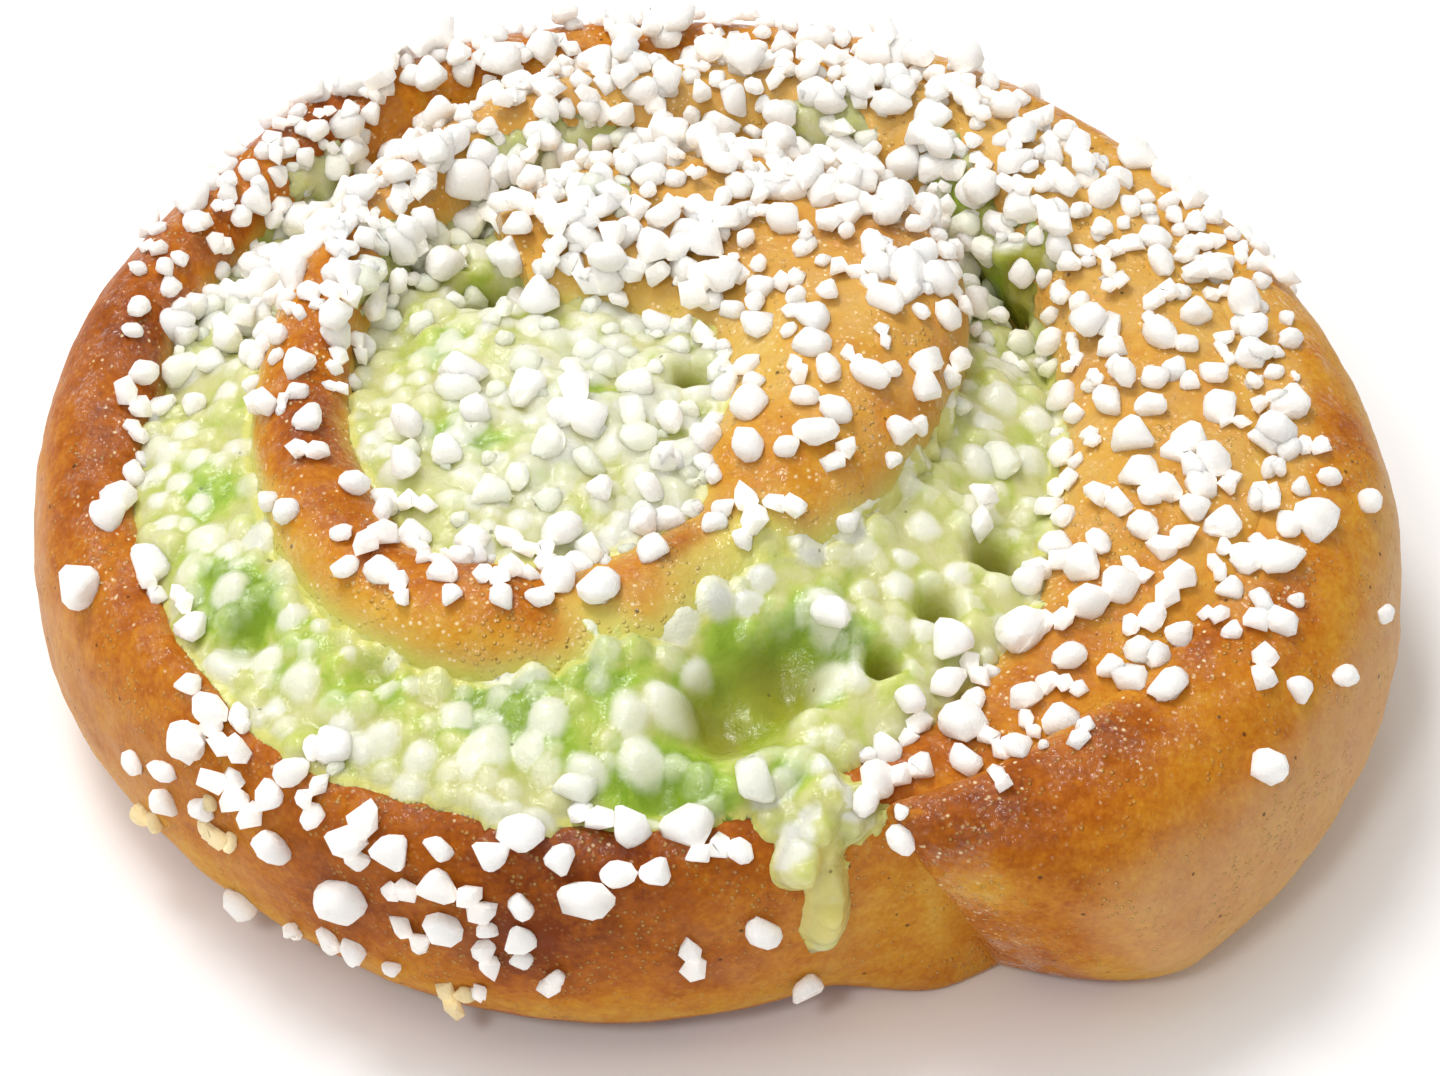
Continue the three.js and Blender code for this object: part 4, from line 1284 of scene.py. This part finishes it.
def strewing_tree():
    """Strews crystals over a surface, as thickly as its sugar attribute says."""
    tree = Tree("strew sugar")
    spacing = tree.size("Spacing", 0.003)
    density = tree.size("Density", 100000.0)
    least = tree.size("Least Size", 0.0015)
    spread = tree.size("Size Spread", 0.0015)
    thickness = tree.size("Thickness From", "sugar", "NodeSocketString")
    strew_seed = tree.size("Strew Seed", 2, "NodeSocketInt")
    scatter = tree.node("GeometryNodeDistributePointsOnFaces", {"distribute_method": "POISSON"},
                        Mesh=tree.start.outputs["Geometry"], Distance_Min=spacing, Density_Max=density,
                        Density_Factor=tree.value_of(thickness), Seed=strew_seed)
    chance = tree.node("FunctionNodeRandomValue", {"data_type": "FLOAT"},
                       Seed=tree.math("ADD", strew_seed, SIZE_SEED))
    bent = tree.math("POWER", chance.outputs[1], FEW_LARGE)
    size = tree.math("ADD", least, tree.math("MULTIPLY", bent, spread))
    kept = tree.node("GeometryNodeCaptureAttribute")
    kept.capture_items.new("VECTOR", "Normal")
    kept.capture_items.new("FLOAT", "Size")
    tree.feed(kept, 0, scatter.outputs["Points"])
    tree.feed(kept, 1, scatter.outputs["Normal"])
    tree.feed(kept, 2, size)
    return crystals_on(tree, kept.outputs[0], kept.outputs[1], kept.outputs[2])


def placing_tree():
    """Puts a crystal on each given point, by its size and normal attributes."""
    tree = Tree("place sugar")
    cloud = tree.node("GeometryNodeMeshToPoints", Mesh=tree.start.outputs["Geometry"])
    normal = tree.value_of("normal", "FLOAT_VECTOR")
    return crystals_on(tree, cloud.outputs[0], normal, tree.value_of("size"))


def run_tree(piece, group, **inputs):
    modifier = piece.modifiers.new("sugar", "NODES")
    modifier.node_group = group
    for key, value in inputs.items():
        set_input(modifier, key.replace("_", " "), value)
    bake_modifiers(piece)
    keep_inside(piece)
    return piece


def keep_inside(piece):
    """Drops the grains that reach past the bun's own box."""
    points = mesh_vectors(piece, "points") * MM
    grain = np.empty(len(points), np.int32)
    piece.data.attributes["grain"].data.foreach_get("value", grain)
    lows, highs = np.array(cad_box[0]) + BOX_MARGIN, np.array(cad_box[1]) - BOX_MARGIN
    out = np.unique(grain[((points < lows) | (points > highs)).any(axis=1)])
    with edited(piece) as bm:
        bm.verts.ensure_lookup_table()
        gone = [bm.verts[k] for k in np.flatnonzero(np.isin(grain, out))]
        bmesh.ops.delete(bm, geom=gone, context="VERTS")


def placed_sugar(name, trees, spots, group, **inputs):
    found = spots_seen(trees, spots)
    piece = new_object(name, [tuple(point * MM) for point, _, _ in found], [])
    set_vectors(piece, "normal", [normal for _, normal, _ in found])
    sizes = [0.5 * GRAIN_GROWTH * length / PIXELS_PER_MM * MM for _, _, (length,) in found]
    set_attribute(piece, "size", sizes)
    return run_tree(piece, group, **inputs)


def strewn_sugar(name, host, group, **inputs):
    return run_tree(copy_of(host, name), group, **inputs)


# Materials

def colour(red, green, blue):
    """A colour as the eye reads it on a screen, 0 to 255, made linear."""
    def linear(c):
        c = c / 255
        return c / 12.92 if c <= 0.04045 else ((c + 0.055) / 1.055) ** 2.4
    return (linear(red), linear(green), linear(blue), 1)


class Finish:
    """A procedural material built up node by node."""

    def __init__(self, name):
        self.material = bpy.data.materials.new(name)
        self.material.use_nodes = True
        self.tree = self.material.node_tree
        self.shader = self.tree.nodes["Principled BSDF"]
        self.place = self.tree.nodes.new("ShaderNodeTexCoord").outputs["Object"]

    def feed(self, target, value):
        if isinstance(value, bpy.types.NodeSocket):
            self.tree.links.new(value, target)
        else:
            target.default_value = value

    def surface(self, **values):
        for name, value in values.items():
            self.feed(self.shader.inputs[name.replace("_", " ")], value)

    def attribute(self, name):
        made = self.tree.nodes.new("ShaderNodeAttribute")
        made.attribute_name = name
        return made.outputs["Fac"]

    def noise(self, size_mm, detail=3.0, rough=0.55, twist=0.0):
        made = self.tree.nodes.new("ShaderNodeTexNoise")
        self.feed(made.inputs["Vector"], self.place)
        made.inputs["Scale"].default_value = 1 / (size_mm * MM)
        made.inputs["Detail"].default_value = detail
        made.inputs["Roughness"].default_value = rough
        made.inputs["Distortion"].default_value = twist
        return made.outputs["Fac"]

    def cells(self, size_mm):
        made = self.tree.nodes.new("ShaderNodeTexVoronoi")
        self.feed(made.inputs["Vector"], self.place)
        made.inputs["Scale"].default_value = 1 / (size_mm * MM)
        return made.outputs["Distance"]

    def math(self, operation, a, b):
        made = self.tree.nodes.new("ShaderNodeMath")
        made.operation = operation
        self.feed(made.inputs[0], a)
        self.feed(made.inputs[1], b)
        return made.outputs[0]

    def add(self, *values):
        total = values[0]
        for value in values[1:]:
            total = self.math("ADD", total, value)
        return total

    def times(self, a, b):
        return self.math("MULTIPLY", a, b)

    def swing(self, size_mm, amount, detail=3.0, rough=0.55):
        """Noise about zero."""
        return self.times(self.math("SUBTRACT", self.noise(size_mm, detail, rough), 0.5), amount)

    def span(self, value, low, high, to_low=0.0, to_high=1.0):
        made = self.tree.nodes.new("ShaderNodeMapRange")
        made.interpolation_type = "SMOOTHSTEP"
        for socket, v in zip(made.inputs, (value, low, high, to_low, to_high)):
            self.feed(socket, v)
        return made.outputs[0]

    def ramp(self, value, *stops):
        made = self.tree.nodes.new("ShaderNodeValToRGB")
        band = made.color_ramp
        band.elements[0].position, band.elements[0].color = stops[0]
        band.elements[1].position, band.elements[1].color = stops[-1]
        for at, shade in stops[1:-1]:
            band.elements.new(at).color = shade
        self.feed(made.inputs[0], value)
        return made.outputs[0]

    def blend(self, share, a, b):
        made = self.tree.nodes.new("ShaderNodeMix")
        made.data_type = "RGBA"
        self.feed(made.inputs[0], share)
        self.feed(made.inputs[6], a)
        self.feed(made.inputs[7], b)
        return made.outputs[2]

    def uneven(self, name, size_mm, amount, detail=3.0, rough=0.55):
        """An attribute with noise about it."""
        return self.add(self.attribute(name), self.swing(size_mm, amount, detail, rough))

    def tint(self, base, value, low, high, share, shade):
        """The base colour, blended with a shade up to a share as the value goes from low to high."""
        return self.blend(self.span(value, low, high, 0, share), base, shade)

    def bump(self, height, depth_mm, strength=1.0, under=None):
        made = self.tree.nodes.new("ShaderNodeBump")
        made.inputs["Distance"].default_value = depth_mm * MM
        made.inputs["Strength"].default_value = strength
        self.feed(made.inputs["Height"], height)
        if under is not None:
            self.feed(made.inputs["Normal"], under)
        return made.outputs[0]


def crust():
    finish = Finish("baked crust")
    bake = finish.add(finish.uneven("bake", 7, 0.5, 4, 0.6), finish.swing(1.6, 0.42, 3, 0.65),
                      finish.swing(0.5, 0.34, 2, 0.6))
    base = finish.ramp(bake, (0.0, colour(224, 192, 104)), (0.2, colour(218, 172, 72)),
                       (0.4, colour(210, 149, 42)), (0.58, colour(196, 121, 25)),
                       (0.75, colour(172, 91, 10)), (1.0, colour(124, 54, 8)))
    soak = finish.uneven("soak", 3, 0.5, 4, 0.6)
    base = finish.tint(base, soak, 0.1, 0.6, 0.75, colour(212, 176, 82))
    base = finish.tint(base, soak, 0.4, 0.95, 0.85, colour(215, 212, 108))
    base = finish.tint(base, finish.uneven("syrup", 4, 0.8, 3, 0.6), 0.3, 1.1, 0.75, colour(214, 174, 94))
    # Painted sheen on the free side: a pale pinkish tan for the white surroundings reflected at grazing
    # angles, together with a paler bake
    base = finish.tint(base, finish.uneven("floury", 5, 0.7, 4, 0.6), 0.1, 1.1, 0.5, colour(220, 178, 132))
    patches = finish.span(finish.noise(4.5, 2, 0.5), 0.44, 0.6)
    bead = finish.times(finish.span(finish.cells(0.6), 0.36, 0.12), patches)
    base = finish.blend(finish.times(bead, 0.35), base, colour(236, 200, 120))
    # Painted glints: small pale specks on the glazed crust, in patches, that stand in for the highlights of
    # wet glaze
    glint_patches = finish.times(finish.span(finish.noise(3.4, 3, 0.6), 0.42, 0.58), finish.attribute("glaze"))
    painted_glints = finish.span(finish.add(finish.cells(0.74), finish.swing(0.3, 0.3)), 0.26, 0.1)
    base = finish.blend(finish.times(finish.times(painted_glints, glint_patches), 0.75), base, colour(250, 232, 184))
    specks = finish.span(finish.cells(2.6), 0.085, 0.05)
    base = finish.blend(finish.times(specks, 0.75), base, colour(64, 38, 22))
    low = finish.bump(finish.noise(2.2, 4, 0.6), 0.25, 0.7)
    pores = finish.bump(bead, 0.16, 0.9, low)
    grain = finish.bump(finish.noise(0.35, 3, 0.65), 0.1, 0.6, pores)
    drops = finish.bump(finish.cells(0.6), -0.3, 1.0, low)
    glints = finish.bump(finish.noise(1.1, 3, 0.6), 0.3, 0.8, drops)
    rough = finish.span(finish.noise(3.3, 3, 0.6), 0.3, 0.7, 0.45, 0.6)
    glazed = finish.span(finish.noise(2.6, 3, 0.6), 0.42, 0.57, 0.06, 0.9)
    coat = finish.times(glazed, finish.attribute("glaze"))
    finish.surface(Base_Color=base, Roughness=rough, Normal=grain, Specular_IOR_Level=0.12,
                   Coat_Roughness=0.05, Coat_Weight=coat, Coat_Normal=glints)
    return finish.material


def paste():
    finish = Finish("pistachio filling")
    milk = finish.add(finish.noise(3.0, 4, 0.6, 0.4), finish.times(finish.attribute("green"), -0.45))
    base = finish.ramp(milk, (0.0, colour(134, 166, 30)), (0.18, colour(164, 192, 60)),
                       (0.34, colour(192, 202, 98)), (0.48, colour(206, 207, 130)),
                       (0.62, colour(214, 211, 152)), (0.8, colour(222, 216, 172)))
    base = finish.tint(base, finish.uneven("thin", 1.5, 0.5), 0.3, 0.9, 0.75, colour(213, 209, 112))
    base = finish.tint(base, finish.attribute("dripped"), 0.2, 1.0, 0.85, colour(224, 208, 120))
    base = finish.tint(base, finish.uneven("white", 1.0, 0.35), 0.05, 0.95, 0.85, colour(240, 240, 222))
    # Painted shade: the filling darkens to olive inside its holes, by their depth
    base = finish.tint(base, finish.attribute("deep"), 0.15, 0.9, 0.85, colour(150, 146, 36))
    specks = finish.span(finish.cells(3.1), 0.07, 0.04)
    base = finish.blend(finish.times(specks, 0.6), base, colour(70, 80, 30))
    low = finish.bump(finish.noise(1.3, 4, 0.6), 0.3, 0.7)
    fine = finish.bump(finish.noise(0.4, 3, 0.6), 0.08, 0.6, low)
    glow = finish.span(finish.attribute("thin"), 0.0, 0.75, 0.75, 0.0)
    finish.surface(Base_Color=base, Roughness=0.2, Normal=fine, Specular_IOR_Level=0.5,
                   Subsurface_Weight=glow, Subsurface_Scale=0.004)
    finish.shader.inputs["Subsurface Radius"].default_value = (1.0, 1.0, 0.75)
    return finish.material


def pearl_sugar(name, darker, lighter, rough=0.55):
    finish = Finish(name)
    base = finish.ramp(finish.attribute("tone"), (0.0, darker), (1.0, lighter))
    finish.shader.subsurface_method = "BURLEY"
    rounded = finish.bump(finish.noise(1.1, 2, 0.5), 0.35, 0.6)
    grain = finish.bump(finish.noise(0.35, 3, 0.65), 0.18, 0.8, rounded)
    finish.surface(Base_Color=base, Roughness=rough, Normal=grain, Specular_IOR_Level=0.35,
                   Subsurface_Weight=0.8, Subsurface_Scale=0.002)
    finish.shader.inputs["Subsurface Radius"].default_value = (1.0, 0.95, 0.9)
    return finish.material


def studio_white():
    finish = Finish("studio white")
    finish.surface(Base_Color=colour(253, 253, 253), Roughness=0.9, Specular_IOR_Level=0.1)
    return finish.material


# Stage

def make_stage():
    bpy.ops.mesh.primitive_plane_add(size=FLOOR_SIZE, location=(0, 0, 0))
    floor = bpy.context.object
    floor.name = "studio_floor"
    floor.data.materials.append(studio_white())


def make_light(name, place_m, size_m, power):
    lamp = bpy.data.lights.new(name, "AREA")
    lamp.shape = "DISK"
    lamp.size = size_m
    lamp.energy = power
    holder = bpy.data.objects.new(name, lamp)
    bpy.context.scene.collection.objects.link(holder)
    holder.location = place_m
    way = Vector(LIT_POINT) - Vector(place_m)
    holder.rotation_euler = way.to_track_quat("-Z", "Y").to_euler()


def make_lights():
    world = bpy.data.worlds.new("studio")
    bpy.context.scene.world = world
    world.use_nodes = True
    world.node_tree.nodes["Background"].inputs[0].default_value = (1, 1, 1, 1)
    world.node_tree.nodes["Background"].inputs[1].default_value = SKY
    for lamp in LAMPS:
        make_light(*lamp)
    bpy.context.scene.view_settings.view_transform = "Standard"


def make_camera():
    lens = bpy.data.cameras.new("camera")
    lens.lens = CAMERA_LENS
    lens.sensor_width = CAMERA_SENSOR
    lens.clip_start = 0.01
    camera = bpy.data.objects.new("camera", lens)
    bpy.context.scene.collection.objects.link(camera)
    start, way = sight(IMAGE_SIZE[0] / 2, IMAGE_SIZE[1] / 2)
    camera.location = start
    camera.rotation_euler = way.to_track_quat("-Z", "Y").to_euler()
    bpy.context.scene.camera = camera


# The bun

def keep(piece, slot, *nodes):
    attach(piece, "root")
    if nodes:
        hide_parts(*nodes)


make_stage()
make_lights()
make_camera()

dough = make_dough()
dough_tree = tree_of(dough)
plain = closed_dome("plain_filling", [], None)
plain_trees = [dough_tree, tree_of(plain)]
discard(plain)
holes = spots_seen(plain_trees, HOLLOWS)
pebbles = soak_grains(plain_trees, dough_tree, holes)
filling = make_filling(dough, holes, pebbles)

describe_dough(dough, spots_seen([dough_tree], DRY_GRAINS))
describe_filling(filling, holes, pebbles, dough_tree)
for piece, finish in ((dough, crust()), (filling, paste())):
    piece.data.shade_smooth()
    piece.data.set_sharp_from_angle(angle=CREASE)
    piece.data.materials.clear()
    piece.data.materials.append(finish)

trees = [dough_tree, tree_of(filling)]
crystals = crystal_kinds("crystal", 14, 40)
placing, strewing = placing_tree(), strewing_tree()
white = pearl_sugar("pearl sugar", colour(250, 247, 241), colour(254, 253, 250))
caramel = pearl_sugar("caramelised sugar", colour(238, 216, 160), colour(246, 232, 190), 0.45)
milky = pearl_sugar("soaked sugar", colour(238, 240, 218), colour(250, 250, 240), 0.3)
strewn = {"Crystals": crystals, "Density": 500000.0, "Least_Size": 0.001, "Size_Spread": 0.0014}
sugar_pieces = [
    placed_sugar("sugar_grains", trees, DRY_GRAINS, placing, Crystals=crystals, Material=white, Seed=4),
    placed_sugar("caramelised_sugar", trees, CARAMEL_GRAINS, placing, Crystals=crystals, Material=caramel,
                 Seed=5),
    strewn_sugar("sugar_on_dough", dough, strewing, Spacing=0.002, Material=white, Seed=6, Strew_Seed=2,
                 Raised=0.2, **strewn),
    strewn_sugar("sugar_heaped", dough, strewing, Spacing=0.00185, Material=white, Seed=8, Strew_Seed=3,
                 Raised=0.75, Thickness_From="heap", **strewn),
    strewn_sugar("sugar_on_filling", filling, strewing, Spacing=0.0027, Material=milky, Seed=7, Strew_Seed=4,
                 Raised=0.1, **strewn),
    strewn_sugar("sugar_heaped_on_filling", filling, strewing, Spacing=0.0024, Material=white, Seed=9,
                 Strew_Seed=5, Raised=0.7, Thickness_From="heap", **strewn)]

keep(dough, "dough", "dough")
keep(filling, "filling", "filling")
for piece in sugar_pieces:
    keep(piece, "sugar")
